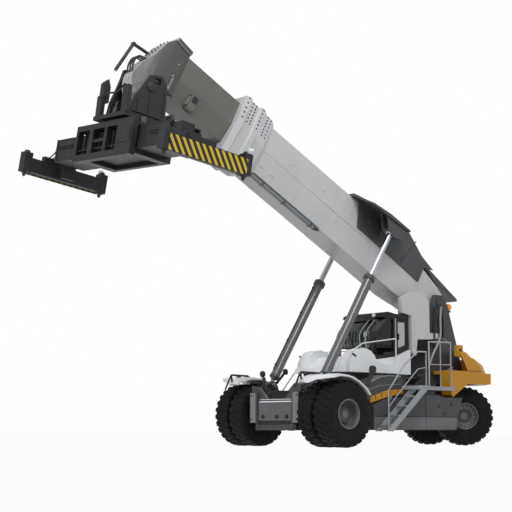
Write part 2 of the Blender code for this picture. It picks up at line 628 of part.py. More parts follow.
HINGE_R = 0.015
DOOR_HINGE = (DOOR_REAR - 0.02, CAB_HALF + HINGE_R + 0.0001, 2.45)
leaf = [(DOOR_FRONT - DOOR_GAP, 2.455 + DOOR_GAP), (DOOR_REAR + DOOR_GAP, 2.62 + DOOR_GAP),
        (DOOR_REAR + DOOR_GAP, 3.42 - DOOR_GAP), (DOOR_FRONT - DOOR_GAP, 3.42 - DOOR_GAP)]
pane = [(-3.30, 2.62), (-3.58, 2.72), (-3.58, 3.34), (-3.30, 3.34)]
door = [cut(prism(leaf, "y", CAB_HALF - 0.035, CAB_HALF), [prism(pane, "y", 0.5, 0.9)]),
        prism(pane, "y", CAB_HALF - 0.024, CAB_HALF - 0.012),
        block(-3.31, -3.27, CAB_HALF - 0.005, CAB_HALF + 0.04, 2.86, 3.02)]
for z in (2.78, 3.26):
    door.append(rod((DOOR_HINGE[0], DOOR_HINGE[1], z), (DOOR_HINGE[0], DOOR_HINGE[1], z + 0.08), HINGE_R, 24))
    door.append(block(DOOR_HINGE[0], DOOR_REAR + 0.04, CAB_HALF + 0.006, CAB_HALF + 0.02, z, z + 0.08))
    door.append(block(DOOR_REAR + 0.01, DOOR_REAR + 0.04, CAB_HALF - 0.01, CAB_HALF + 0.02, z, z + 0.08))
finish(fuse(door), "cab_door", "black", DOOR_HINGE)

seat = fuse([
    block(-3.16, -2.84, -0.16, 0.16, FLOOR_Z + SEAT_GAP, 2.36),
    block(-3.22, -2.74, -0.25, 0.25, 2.34, 2.48),
    prism([(-3.18, 2.40), (-3.08, 2.44), (-3.20, 3.06), (-3.30, 3.04)], "y", -0.24, 0.24),
    prism([(-3.20, 3.04), (-3.23, 3.22), (-3.31, 3.22), (-3.29, 3.02)], "y", -0.13, 0.13),
    block(-3.16, -2.80, 0.24, 0.32, 2.60, 2.66),
    block(-3.16, -3.10, 0.22, 0.30, 2.40, 2.64),
    block(-3.16, -2.80, -0.32, -0.24, 2.60, 2.66),
    block(-3.16, -3.10, -0.30, -0.22, 2.40, 2.64),
])
finish(seat, "seat", "black")
console = fuse([
    prism([(-2.22, FLOOR_Z + SEAT_GAP), (-2.24, 2.50), (-2.38, 2.62), (-2.44, 2.50),
           (-2.36, FLOOR_Z + SEAT_GAP)],
          "y", -0.30, 0.30),
    rod((-2.36, 0, 2.50), (-2.56, 0, 2.68), 0.03, 8),
    turned((-2.55, 0, 2.67), (-0.74, 0, 0.67), [(0, 0.17), (0.025, 0.18), (0.05, 0.17)], 14),
])
finish(console, "console", "charcoal")

# Lift cylinders
lift_dir = (CYL_EYE - CYL_FOOT).normalized()
for side, word in ((1, "left"), (-1, "right")):
    foot = CYL_FOOT + Vector((0, side * CYL_Y, 0))
    eye = CYL_EYE + Vector((0, side * CYL_Y, 0))
    inward = EYE_HALF if side > 0 else 0.05
    outward = 0.05 if side > 0 else EYE_HALF
    barrel = fuse([
        turned(foot, lift_dir, [(0.05, 0.048), (0.20, 0.048), (0.27, BARREL_R), (BARREL_LEN - 0.12, BARREL_R),
                                (BARREL_LEN - 0.12, BARREL_R + 0.03), (BARREL_LEN, BARREL_R + 0.03)], 18),
        rod(foot - Vector((0, inward, 0)), foot + Vector((0, outward, 0)), 0.13, 16),
    ])
    barrel = cut(barrel, [turned(foot, lift_dir, [(0.31, ROD_R + 0.004), (BARREL_LEN + 0.1, ROD_R + 0.004)], 18)])
    finish(barrel, "lift_barrel_" + word, "grey", foot)
    ram = fuse([
        turned(eye, -lift_dir, [(0.05, ROD_R), (ROD_LEN, ROD_R)], 18),
        rod(eye - Vector((0, 0.09, 0)), eye + Vector((0, 0.09, 0)), 0.13, 16),
    ])
    finish(ram, "lift_rod_" + word, "steel", eye)


# Outer boom: six-sided box, wider at the kink line than at its top and bottom
def section(s, top, top_half, kink, kink_half, bottom, bottom_half):
    half = [(top_half, top), (kink_half, kink), (bottom_half, bottom)]
    ring = half + [(-y, t) for y, t in reversed(half)]
    return [boom(s, y, t) for y, t in ring]


OUTER_TABLE = [
    # s, top, top half-width, kink, kink half-width, bottom, bottom half-width
    (0.95, 0.78, 0.40, 0.08, 0.45, -0.50, 0.36),
    (1.60, 0.80, 0.41, 0.13, 0.46, -0.57, 0.36),
    (2.90, 0.86, 0.42, 0.14, 0.46, -0.57, 0.35),
    (7.10, 0.81, 0.42, 0.07, 0.46, -0.56, 0.34),
    (OUTER_END, 0.81, 0.42, 0.07, 0.46, -0.56, 0.34),
]
BORE = (0.74, 0.385, 0.06, 0.42, -0.47, 0.30)
COLLAR_STEPS = [
    # s, growth over the boom's section
    (7.42, 0.02), (7.56, 0.09), (7.86, 0.11), (7.90, 0.15), (8.06, 0.15), (8.10, 0.11), (8.38, 0.12),
    (8.42, 0.16), (COLLAR_END, 0.13),
]


def outer_at(s, grow):
    """The outer boom's constant section near its mouth, grown all round."""
    top, top_half, kink, kink_half, bottom, bottom_half = OUTER_TABLE[-1][1:]
    return section(s, top + grow, top_half + grow, kink, kink_half + grow, bottom - grow, bottom_half + grow)


def boom_plate(outline, y0, y1):
    """A plate across the boom: its outline in boom coordinates (s, t), from y0 to y1."""
    low_y, high_y = sorted((y0, y1))
    return skin([[boom(s, low_y, t) for s, t in outline], [boom(s, high_y, t) for s, t in outline]])


shell = skin([section(*row) for row in OUTER_TABLE])
bore = skin([section(BORE_START, *BORE), section(COLLAR_END + 0.3, *BORE)])
foot_lobe = [(1.1, 0.70), (0.96, 0.62), (0.23, 0.47), (-0.20, 0.34), (-0.31, 0.14), (-0.22, -0.20),
             (0.0, -0.34), (0.25, -0.38), (0.60, -0.42), (1.1, -0.45)]
collar = cut(skin([outer_at(s, grow) for s, grow in COLLAR_STEPS]),
             [skin([outer_at(7.3, -0.02), outer_at(OUTER_END - 0.01, -0.02)]),
              skin([section(OUTER_END - 0.2, *BORE), section(COLLAR_END + 0.3, *BORE)])])
outer = cut(fuse([cut(shell, [bore]), boom_plate(foot_lobe, -0.44, 0.44), collar]),
            [rod((PIVOT.x, -1, PIVOT.z), (PIVOT.x, 1, PIVOT.z), 0.1008, 32)])
finish(outer, "boom_outer", "white", PIVOT)
finish(rod((PIVOT.x, -0.6502, PIVOT.z), (PIVOT.x, 0.6502, PIVOT.z), 0.10, 32), "pivot_pin", "steel")

# Shoulder on the boom that the lift cylinders push: ridge, dark side webs, flared wings and lug plates
ridge = [(4.25, 0.94), (3.56, 1.12), (2.69, 1.20), (1.90, 1.19), (1.26, 0.92), (0.58, 0.80), (-0.78, 0.66),
         (-0.80, 0.60), (0.10, 0.55), (0.90, 0.7803), (1.60, 0.8003), (2.90, 0.8603), (4.25, 0.8445)]
web = [(3.72, 0.19), (3.98, 0.90), (3.56, 1.10), (2.69, 1.18), (1.90, 1.17), (1.26, 0.90), (0.60, 0.78),
       (0.96, 0.64), (1.00, 0.16)]
WING_INNER = [(4.25, 0.93), (3.56, 1.11), (2.30, 1.19), (2.30, 0.99), (4.25, 0.88)]
WING_OUTER = [(3.98, 0.705), (3.30, 0.80), (2.45, 0.82), (2.45, 0.765), (3.98, 0.65)]
LUG_PLATE = [(3.42, 0.80), (2.52, 0.84), (2.60, 0.42), (2.90, 0.32), (3.16, 0.42)]
LUG_HALF = 0.09 + SEAT_GAP
shoulder_pieces = [boom_plate([p for p in ridge if p[0] > 0.8], -0.49, 0.49), boom_plate(ridge, -0.36, 0.36)]
for side in (1, -1):
    shoulder_pieces.append(boom_plate(web, side * (0.46 + SEAT_GAP), side * 0.49))
    shoulder_pieces.append(skin([[boom(s, side * 0.45, t) for s, t in WING_INNER],
                                 [boom(s, side * 1.13, t) for s, t in WING_OUTER]]))
    for inner, outer_edge in ((CYL_Y - LUG_HALF - 0.04, CYL_Y - LUG_HALF),
                              (CYL_Y + LUG_HALF, CYL_Y + LUG_HALF + 0.04)):
        shoulder_pieces.append(boom_plate(LUG_PLATE, side * inner, side * outer_edge))
finish(fuse(shoulder_pieces), "boom_shoulder", "grey", PIVOT)


# Inner boom and its nose
def inner_at(s, gap):
    top, top_half, kink, kink_half, bottom, bottom_half = BORE
    return section(s, top - gap, top_half - gap, kink, kink_half - gap, bottom + gap, bottom_half - gap)


tube = skin([inner_at(INNER_TAIL, 0.0004), inner_at(INNER_TAIL + 0.40, 0.0004),
             inner_at(INNER_TAIL + 0.42, SLIDE_GAP), inner_at(INNER_END, SLIDE_GAP)])
tube = cut(tube, [skin([inner_at(INNER_TAIL - 0.2, SLIDE_GAP + WALL), inner_at(INNER_END - 0.05, SLIDE_GAP + WALL)])])
lamp_box = boom_plate([(9.76, -0.42), (9.98, -0.42), (9.98, -0.06), (9.76, -0.06)], 0.30, 0.49)
finish(fuse([tube, lamp_box]), "boom_inner", "olive", boom(INNER_END, 0, 0))
NOSE_TABLE = [
    # s, bottom, top, half-width
    (INNER_END + SEAT_GAP, -0.47, 0.90, 0.36),
    (10.74, -0.62, 0.93, 0.36),
    (10.90, -0.90, 0.95, 0.36),
    (11.10, -0.93, 0.70, 0.33),
    (11.26, -0.90, 0.20, 0.28),
    (11.42, -0.78, -0.12, 0.22),
    (11.50, -0.58, -0.46, 0.18),
]
nose = fuse([
    skin([[boom(s, -half, bottom), boom(s, half, bottom), boom(s, half, top), boom(s, -half, top)]
          for s, bottom, top, half in NOSE_TABLE]),
    boom_plate([(INNER_END + SEAT_GAP, 0.82), (INNER_END + SEAT_GAP, 0.92), (10.92, 0.98), (10.92, 0.90)], -0.42, 0.42),
    boom_plate([(10.44, -0.02), (10.60, -0.02), (10.60, -0.42), (10.44, -0.42)], 0.30, 0.43),
    pipe([boom(11.05, -0.26, 0.48), boom(11.62, -0.28, 0.42), boom(11.72, -0.30, -0.48)], 0.04, 6),
])
nose = cut(nose, [rod(HEAD_PIN - Vector((0, 1, 0)), HEAD_PIN + Vector((0, 1, 0)), 0.0712, 24)])
finish(nose, "boom_nose", "light_grey", boom(INNER_END, 0, 0))

# Head yoke: ears on the tilt pin, mast plates and the plate that carries the sideways slope
PIN_HALF = 0.56
EAR_FOOT = -0.79
near_ear = [(-0.50, EAR_FOOT), (0.50, EAR_FOOT), (0.40, -0.30), (0.18, 0.02), (0.04, 0.30),
            (-0.30, 0.36), (-0.46, 0.10)]
far_ear = [(-0.46, EAR_FOOT), (0.50, EAR_FOOT), (0.42, -0.30), (0.22, 0.30), (0.14, 0.62),
           (-0.22, 0.64), (-0.32, 0.10)]
front_ear = [(0.47, -0.33), (0.66, -0.37), (0.65, 0.14), (0.53, 0.26), (0.46, 0.06)]
SLAB_TOP = -0.74
SLAB_BOTTOM = -0.84
MOTOR = [(0, 0.13), (0.30, 0.13), (0.36, 0.09)]
yoke = [rod((0, -PIN_HALF, 0), (0, PIN_HALF, 0), 0.07, 24)]
yoke += [
    cut(prism(near_ear, "y", 0.45, 0.55), [block(-0.26, -0.08, 0.3, 0.7, 0.12, 0.26)]),
    prism(far_ear, "y", -0.55, -0.45),
    prism(front_ear, "y", -0.63, -0.48),
    block(0.58, 0.70, 0.42, 0.62, SLAB_TOP - 0.06, -0.14),
    block(0.58, 0.70, -0.64, -0.46, SLAB_TOP - 0.06, -0.20),
    block(-0.50, -0.40, -0.50, 0.50, SLAB_TOP - 0.04, -0.50),
]
for side in (1, -1):
    yoke.append(rod((0, side * 0.40, 0), (0, side * PIN_HALF, 0), 0.12, 14))
yoke = [move(piece, HANG) for piece in yoke]
for slab in (block(-0.42, 0.80, -0.66, 0.66, SLAB_BOTTOM, SLAB_TOP),
             turned((-0.10, 0.24, SLAB_TOP - 0.04), (0, 0, 1), MOTOR, 12),
             turned((-0.10, -0.24, SLAB_TOP - 0.04), (0, 0, 1), MOTOR, 12)):
    yoke.append(move(slab, SPREADER))
finish(fuse(yoke), "head_yoke", "charcoal", HEAD_PIN)

# Rotator: ring, top plate and the side-shift frame round the trunk
FRAME_IN = TRUNK_FRONT + 0.04
FRAME_OUT = TRUNK_FRONT + 0.20
FRAME_BACK = TRUNK_BACK - 0.02
ROTOR_HALF = 1.18
SIDE_SHIFT = 0.80
RAIL_Z = TRUNK_BOTTOM - SEAT_GAP
rotor = [
    turned((0, 0, SLAB_BOTTOM - SEAT_GAP), (0, 0, -1), [(0, 0.50), (0.10, 0.50), (0.10, 0.58), (0.18, 0.58)], 24),
    block(FRAME_BACK - 0.12, FRAME_OUT, -1.16, 1.16, TRUNK_TOP + 0.02, TRUNK_TOP + 0.10),
    block(FRAME_IN, FRAME_OUT, -ROTOR_HALF, ROTOR_HALF, TRUNK_TOP + 0.04, TRUNK_TOP + 0.16),
    block(FRAME_IN, FRAME_OUT, -ROTOR_HALF, ROTOR_HALF, RAIL_Z - 0.16, RAIL_Z),
    block(FRAME_BACK - 0.12, FRAME_BACK, -1.16, 1.16, RAIL_Z - 0.10, TRUNK_TOP + 0.05),
    block(FRAME_IN + 0.02, FRAME_OUT - 0.03, -0.50, 0.10, -1.42, -1.34),
]
for y0, y1 in ((-ROTOR_HALF, -1.10), (-0.60, -0.44), (0.04, 0.14), (0.56, ROTOR_HALF)):
    rotor.append(block(FRAME_IN, FRAME_OUT, y0, y1, RAIL_Z - 0.10, TRUNK_TOP + 0.06))
for side in (1, -1):
    low_y, high_y = sorted((side * 0.90, side * 1.16))
    rotor.append(block(FRAME_BACK - 0.06, FRAME_OUT - 0.04, low_y, high_y, RAIL_Z - 0.10, RAIL_Z))
rotator = fuse(rotor)
finish(move(rotator, SPREADER), "rotator_frame", "charcoal", HEAD_PIN)

# Spreader trunk with its two channels side by side, and a feed pipe along its top
TRUNK_MID = (TRUNK_BACK + TRUNK_FRONT) / 2
CHANNELS = {1: (TRUNK_MID + TRUNK_WALL / 2, TRUNK_FRONT - TRUNK_WALL),
            -1: (TRUNK_BACK + TRUNK_WALL, TRUNK_MID - TRUNK_WALL / 2)}
trunk = cut(block(TRUNK_BACK, TRUNK_FRONT, -TRUNK_END, TRUNK_END, TRUNK_BOTTOM, TRUNK_TOP), [
    block(x0, x1, -TRUNK_END - 0.1, TRUNK_END + 0.1, TRUNK_BOTTOM + TRUNK_WALL, TRUNK_TOP - TRUNK_WALL)
    for x0, x1 in CHANNELS.values()])
PIPE_START = ROTOR_HALF + SIDE_SHIFT + 0.04
trunk = fuse([
    trunk,
    pipe([(TRUNK_FRONT - 0.08, PIPE_START, TRUNK_TOP - 0.02), (TRUNK_FRONT - 0.08, PIPE_START + 0.04, TRUNK_TOP + 0.09),
          (TRUNK_FRONT - 0.08, TRUNK_END - 0.06, TRUNK_TOP + 0.09),
          (TRUNK_FRONT - 0.08, TRUNK_END - 0.02, TRUNK_TOP - 0.02)], 0.05, 6),
])
finish(move(trunk, SPREADER), "spreader_trunk", "charcoal", HEAD_PIN)

# Telescopic arms with the end beams and twistlocks
ARM_FIT = 0.01
ARM_TOP = TRUNK_TOP - TRUNK_WALL - ARM_FIT
ARM_BOTTOM = TRUNK_BOTTOM + TRUNK_WALL + ARM_FIT
ARM_END = LOCK_Y - 0.20
for side, word in ((1, "left"), (-1, "right")):
    x0, x1 = CHANNELS[side]
    pad = ARM_FIT - SEAT_GAP
    pieces = [
        block(x0 + ARM_FIT, x1 - ARM_FIT, *span(side, -1.90, ARM_END), ARM_BOTTOM, ARM_TOP),
        block(x0 + ARM_FIT - pad, x1 - ARM_FIT + pad, *span(side, -1.89, -1.50), ARM_BOTTOM - pad, ARM_TOP + pad),
        block(x0 + ARM_FIT, x1 - ARM_FIT, *span(side, ARM_END - 0.10, LOCK_Y + 0.10), BEAM_BOTTOM + 0.06, ARM_TOP - 0.26),
        block(-LOCK_X - 0.09, LOCK_X + 0.09, *span(side, LOCK_Y - 0.11, LOCK_Y + 0.11), BEAM_BOTTOM + 0.02, BEAM_TOP),
        block(TRUNK_BACK, TRUNK_FRONT, *span(side, LOCK_Y - 0.07, LOCK_Y + 0.07), BEAM_TOP - 0.02, BEAM_TOP + 0.14),
    ]
    for sx in (1, -1):
        pieces.append(block(sx * LOCK_X - 0.11, sx * LOCK_X + 0.11, *span(side, LOCK_Y - 0.12, LOCK_Y + 0.12),
                            BEAM_BOTTOM, BEAM_TOP + 0.12))
        pieces.append(turned((sx * LOCK_X, side * LOCK_Y, BEAM_BOTTOM + 0.08), (0, 0, -1),
                             [(0, 0.05), (0.14, 0.05), (0.19, 0.02)], 10))
    finish(move(fuse(pieces), SPREADER), "spreader_arm_" + word, "black", HEAD_PIN)
    finish(move(block(-1.10, 1.10, *span(side, LOCK_Y + 0.1205, LOCK_Y + 0.14), BEAM_BOTTOM, BEAM_TOP - 0.01), SPREADER),
           "hazard_panel_" + word, "hazard", HEAD_PIN)

# The box of the whole machine is centred over the origin
low = Vector((1e9, 1e9, 1e9))
high = -low
triangles = 0
for obj in parts.objects:
    for v in obj.data.vertices:
        w = obj.location + v.co
        low = Vector(map(min, low, w))
        high = Vector(map(max, high, w))
    triangles += sum(len(p.vertices) - 2 for p in obj.data.polygons)
shift = Vector((-(low.x + high.x) / 2, -(low.y + high.y) / 2, 0.0))
for obj in parts.objects:
    obj.location += shift
print("box", [round(c, 4) for c in low + shift], [round(c, 4) for c in high + shift], "triangles", triangles)
print("shift", [round(c, 5) for c in shift])
print("head pin", [round(c, 4) for c in HEAD_PIN])
print("rotator point", [round(c, 4) for c in SPREADER @ Vector((0, 0, -1))],
      "up", [round(c, 6) for c in SPREADER.to_3x3() @ Vector((0, 0, 1))],
      "across", [round(c, 6) for c in SPREADER.to_3x3() @ Vector((0, 1, 0))])
for side in (1, -1):
    print("rear hub", side, [round(c, 4) for c in STEER[side] @ Vector((0, side * WHEEL_OFFSET, 0))])
    print("twistlock corner", side, [round(c, 4) for c in SPREADER @ Vector((LOCK_X, side * LOCK_Y, BEAM_BOTTOM))])
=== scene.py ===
"""Looks of the reach stacker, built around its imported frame. Metres, X forward, Y left, Z up."""
import json
import math

import bmesh
import bpy
from mathutils import Matrix, Vector


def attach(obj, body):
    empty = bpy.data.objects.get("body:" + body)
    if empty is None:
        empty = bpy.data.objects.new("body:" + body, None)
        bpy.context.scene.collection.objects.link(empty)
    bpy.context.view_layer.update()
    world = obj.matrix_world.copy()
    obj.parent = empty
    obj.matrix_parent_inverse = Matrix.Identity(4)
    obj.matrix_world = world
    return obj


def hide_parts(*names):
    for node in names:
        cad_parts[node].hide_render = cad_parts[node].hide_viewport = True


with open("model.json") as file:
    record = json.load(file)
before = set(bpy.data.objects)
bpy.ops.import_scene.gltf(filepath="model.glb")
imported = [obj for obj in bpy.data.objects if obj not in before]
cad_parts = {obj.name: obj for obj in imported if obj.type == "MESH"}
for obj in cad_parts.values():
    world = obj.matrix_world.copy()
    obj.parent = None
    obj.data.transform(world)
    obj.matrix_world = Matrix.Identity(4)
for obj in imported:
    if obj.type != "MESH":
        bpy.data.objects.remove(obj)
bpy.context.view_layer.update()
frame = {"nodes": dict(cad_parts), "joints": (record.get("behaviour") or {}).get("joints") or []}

# Driving dimensions, with the front axle at X = 0 as on the drawing
TYRE_R = 0.82
LUGS = 26
FRONT_OUTER_Y = 1.864
DUAL_PITCH = 0.56
BOOM_ANGLE = math.radians(27.5)
DATUM = Vector((-5.2, 0.0, 3.95))
PIVOT = Vector((-5.1, 0.0, 4.0))
HANG_PITCH = math.radians(7.0)
HANG_ROLL = math.radians(-4.0)
HANG_X = -0.10
TRUNK_TOP = -1.12
TRUNK_BOTTOM = -1.68
TRUNK_FRONT = 0.66
TRUNK_END = 2.35
LOCK_X = 2.259 / 2
LOCK_Y = 5.853 / 2
BEAM_TOP = -1.62
BEAM_BOTTOM = -2.00
CYL_Y = 0.95
CYL_FOOT = Vector((-0.118, 0.0, 1.563))
CYL_EYE = Vector((-2.80, 0.0, 5.75))
BARREL_R = 0.123
BARREL_LEN = 3.44
TANK_Y = 1.62
BOX_Y = 1.45
CAB_HALF = 0.70
FRONT_X = 0.55
CHEEK_X = 0.59
DECK_Z = 1.58
SIDES = ((1, "left"), (-1, "right"))
AHEAD = Vector((1, 0, 0))
LEFT = Vector((0, 1, 0))
UP = Vector((0, 0, 1))

JOINTS = {joint["name"]: joint for joint in frame["joints"]}
SHIFT = Vector(JOINTS["boom_lift"]["pos_m"]) - PIVOT
HEAD_PIN = Vector(JOINTS["head_tilt"]["pos_m"])
BOOM_TURN = Matrix.Rotation(-BOOM_ANGLE, 3, "Y")
HANG = Matrix.Translation(HEAD_PIN) @ Matrix.Rotation(-HANG_PITCH, 4, "Y")
SPREADER = HANG @ Matrix.Rotation(HANG_ROLL, 4, "X") @ Matrix.Translation((HANG_X, 0.0, 0.0))
HANG_TURN = HANG.to_3x3()
SPREAD_TURN = SPREADER.to_3x3()


def at(x, y, z):
    """A drawing point in the frame's own coordinates."""
    return Vector((x, y, z)) + SHIFT


def boom(s, y, t):
    """A point on the boom: s along it, t square to it and up."""
    ca, sa = math.cos(BOOM_ANGLE), math.sin(BOOM_ANGLE)
    return DATUM + SHIFT + Vector((s * ca - t * sa, y, s * sa + t * ca))


def spread(x, y, z):
    """A point on the spreader, in its own tilted axes."""
    return SPREADER @ Vector((x, y, z))


def hang(x, y, z):
    """A point on the head yoke, in its own tilted axes."""
    return HANG @ Vector((x, y, z))


def around(centre, side, other, radius, count, start=0.0):
    """Points spaced evenly round a centre, in the plane of two directions."""
    turns = [2 * math.pi * (k + start) / count for k in range(count)]
    return [Vector(centre) + (side * math.cos(a) + other * math.sin(a)) * radius for a in turns]


# Node helpers for materials
class Nodes:
    """A small writer of shader nodes."""

    def __init__(self, name):
        self.material = bpy.data.materials.new(name)
        self.material.use_nodes = True
        self.tree = self.material.node_tree
        self.shader = self.tree.nodes["Principled BSDF"]
        self.coords = self.tree.nodes.new("ShaderNodeTexCoord").outputs["Object"]

    def add(self, kind, inputs=None, **settings):
        node = self.tree.nodes.new(kind)
        for key, value in settings.items():
            setattr(node, key, value)
        for key, value in (inputs or {}).items():
            self.feed(node.inputs[key], value)
        return node

    def feed(self, socket, value):
        if isinstance(value, bpy.types.NodeSocket):
            self.tree.links.new(value, socket)
        elif isinstance(value, (tuple, list)) and len(value) == 3 and socket.type == "RGBA":
            socket.default_value = (*value, 1.0)
        else:
            socket.default_value = value

    def stretched(self, scale):
        return self.add("ShaderNodeMapping", {"Vector": self.coords, "Scale": scale}).outputs["Vector"]

    def noise(self, scale, detail=5.0, vector=None, rough=0.55):
        node = self.add("ShaderNodeTexNoise", {"Vector": vector or self.coords, "Scale": scale,
                                               "Detail": detail, "Roughness": rough})
        return node.outputs["Fac"]

    def span(self, value, low, high, to_low=0.0, to_high=1.0):
        node = self.add("ShaderNodeMapRange", {"Value": value, "From Min": low, "From Max": high,
                                               "To Min": to_low, "To Max": to_high}, clamp=True)
        return node.outputs["Result"]

    def math(self, operation, a, b=0.0):
        node = self.add("ShaderNodeMath", {0: a, 1: b}, operation=operation)
        return node.outputs[0]

    def mix(self, factor, a, b):
        node = self.add("ShaderNodeMix", data_type="RGBA")
        self.feed(node.inputs[0], factor)
        self.feed(node.inputs[6], a)
        self.feed(node.inputs[7], b)
        return node.outputs[2]

    def shade(self, inputs):
        """Feeds the main shader's own inputs."""
        for key, value in inputs.items():
            self.feed(self.shader.inputs[key], value)

    def along(self, direction, origin):
        """Distance of a point along a direction from an origin, in metres."""
        moved = self.add("ShaderNodeVectorMath", {0: self.coords, 1: tuple(origin)}, operation="SUBTRACT")
        node = self.add("ShaderNodeVectorMath", {0: moved.outputs[0], 1: tuple(direction)},
                        operation="DOT_PRODUCT")
        return node.outputs["Value"]

    def height(self):
        return self.add("ShaderNodeSeparateXYZ", {0: self.coords}).outputs["Z"]

    def edge(self, radius):
        """Lighter edges, partly wear and partly a painted highlight: where the rounded normal leaves the flat
        one.
        """
        soft = self.add("ShaderNodeBevel", {"Radius": radius}, samples=4).outputs["Normal"]
        flat = self.add("ShaderNodeNewGeometry").outputs["True Normal"]
        dot = self.add("ShaderNodeVectorMath", {0: soft, 1: flat}, operation="DOT_PRODUCT").outputs["Value"]
        return soft, self.span(self.math("SUBTRACT", 1.0, dot), 0.01, 0.25)

    def bump(self, height, strength, distance, normal=None):
        inputs = {"Height": height, "Strength": strength, "Distance": distance}
        if normal is not None:
            inputs["Normal"] = normal
        return self.add("ShaderNodeBump", inputs).outputs["Normal"]


def painted(name, rgb, rough=0.42, metal=0.0, spread_of=0.10, dirt=(0.22, 0.19, 0.15), dirt_amount=0.35,
            wear_and_highlight_colour=None, wear_and_highlight_amount=0.35, radius=0.010, coat=0.0, extra=None):
    """Sprayed paint: a little uneven, dusty low down and in streaks, lighter along its edges, partly as wear
    and partly as a painted highlight.
    """
    n = Nodes(name)
    patch = n.noise(0.9, 7.0)
    shade = n.span(patch, 0.3, 0.7, 1.0 - spread_of, 1.0 + spread_of * 0.6)
    base = n.add("ShaderNodeMix", {0: 1.0, 6: rgb}, data_type="RGBA", blend_type="MULTIPLY")
    grey = n.add("ShaderNodeCombineColor", {0: shade, 1: shade, 2: shade})
    n.feed(base.inputs[7], grey.outputs[0])
    colour = base.outputs[2]
    if extra:
        colour = extra(n, colour)
    streak = n.span(n.noise(1.0, 4.0, n.stretched((7.0, 7.0, 0.7))), 0.50, 0.78)
    speck = n.span(n.noise(38.0, 3.0), 0.62, 0.74)
    low = n.span(n.height(), 0.25, 1.9, 1.0, 0.12)
    grime = n.math("MULTIPLY", n.math("ADD", streak, n.math("MULTIPLY", speck, 0.35)), low)
    colour = n.mix(n.math("MULTIPLY", grime, dirt_amount), colour, dirt)
    # Lighter edges: partly wear, partly a painted highlight along them.
    normal, wear_and_highlight_mask = n.edge(radius)
    ragged = n.span(n.noise(22.0, 5.0), 0.42, 0.62, 0.25, 1.0)
    light = wear_and_highlight_colour or tuple(min(1.0, c * 1.5 + 0.04) for c in rgb)
    colour = n.mix(n.math("MULTIPLY", n.math("MULTIPLY", wear_and_highlight_mask, ragged), wear_and_highlight_amount), colour, light)
    n.shade({"Base Color": colour})
    rough_now = n.math("ADD", n.math("MULTIPLY", grime, 0.3),
                       n.span(n.noise(6.0), 0.3, 0.7, rough - 0.06, rough + 0.08))
    n.shade({"Roughness": rough_now, "Metallic": metal, "Coat Weight": coat, "Coat Roughness": 0.12,
             "Normal": n.bump(n.noise(160.0, 2.0), 0.06, 0.002, normal)})
    return n.material


def painted_shade_towards_head(n, colour):
    """Painted shade: the boom darkens from its middle towards its head, so its rear half stays paler."""
    along = n.along(boom(1, 0, 0) - boom(0, 0, 0), boom(0, 0, 0))
    return n.mix(n.span(along, 3.0, 9.0, 0.0, 0.22), colour, (0.40, 0.41, 0.42))


def painted_flank_shade(n, colour):
    """Painted shade: the nose's side plates, which face across, are darkened, while its front and top plates
    stay pale.
    """
    normal = n.add("ShaderNodeNewGeometry").outputs["True Normal"]
    across = n.math("ABSOLUTE", n.add("ShaderNodeSeparateXYZ", {0: normal}).outputs["Y"])
    return n.mix(n.span(across, 0.6, 0.8), colour, (0.070, 0.072, 0.066))


def rubber():
    """Tyre rubber, dusty in the grooves and dull on the lugs, with lighter lug edges that are partly wear and
    partly a painted highlight.
    """
    n = Nodes("tyre_rubber")
    dust = n.span(n.noise(3.2, 7.0), 0.42, 0.75, 0.0, 0.55)
    colour = n.mix(dust, (0.0035, 0.0035, 0.0038), (0.010, 0.0098, 0.0095))
    # Lighter lug edges: partly wear, partly a painted highlight.
    normal, wear_and_highlight_mask = n.edge(0.012)
    colour = n.mix(n.math("MULTIPLY", wear_and_highlight_mask, 0.35), colour, (0.030, 0.030, 0.030))
    n.shade({"Base Color": colour, "Roughness": n.span(n.noise(9.0), 0.3, 0.7, 0.62, 0.85),
             "Specular IOR Level": 0.25, "Normal": n.bump(n.noise(70.0, 4.0), 0.25, 0.003, normal)})
    return n.material


def chrome():
    """Plated cylinder rod, with faint oil rings along it."""
    n = Nodes("chrome_rod")
    smear = n.span(n.noise(5.0, 6.0, n.stretched((3.0, 3.0, 14.0))), 0.35, 0.75)
    n.shade({"Base Color": n.mix(smear, (0.80, 0.81, 0.82), (0.60, 0.61, 0.62)), "Metallic": 1.0,
             "Roughness": n.span(smear, 0.0, 1.0, 0.10, 0.24)})
    return n.material


def hazard():
    """Yellow and black warning stripes, slanted, with lighter edges that are partly wear and partly a painted
    highlight.
    """
    forward = SPREAD_TURN @ AHEAD
    upward = SPREAD_TURN @ UP
    lean = 0.72
    pitch = 0.184
    direction = (forward - upward * lean) / pitch

    def stripes(n, colour):
        phase = n.math("FRACT", n.math("ADD", n.along(direction, SPREADER.translation), 40.0))
        yellow = n.span(n.math("ABSOLUTE", n.math("SUBTRACT", phase, 0.5)), 0.225, 0.24, 1.0, 0.0)
        return n.mix(yellow, (0.012, 0.012, 0.012), colour)

    return painted("hazard_stripes", (0.70, 0.50, 0.03), rough=0.38, dirt=(0.05, 0.045, 0.04),
                   dirt_amount=0.5, wear_and_highlight_amount=0.1, extra=stripes)


def window_glass():
    """Tinted cab glass, with the pale upright reflections of the yard on its front corner."""
    n = Nodes("cab_glazing")
    n.shade({"Transmission Weight": 0.92, "IOR": 1.45, "Roughness": 0.03})
    parts = n.add("ShaderNodeSeparateXYZ", {0: n.coords}).outputs
    wave = n.math("SINE", n.math("MULTIPLY", n.math("ADD", parts["Y"], parts["X"]), 52.0))
    bars = n.span(wave, 0.55, 0.8)
    front = n.span(parts["X"], SHIFT.x - 2.56, SHIFT.x - 2.50)
    below = n.span(parts["Z"], 3.05, 3.12, 1.0, 0.0)
    mark = n.math("MULTIPLY", n.math("MULTIPLY", bars, front), below)
    n.shade({"Base Color": n.mix(mark, (0.12, 0.135, 0.11), (0.75, 0.77, 0.78))})
    ripple = n.noise(2.2, 2.0)
    n.shade({"Normal": n.bump(ripple, 0.05, 0.02)})
    return n.material


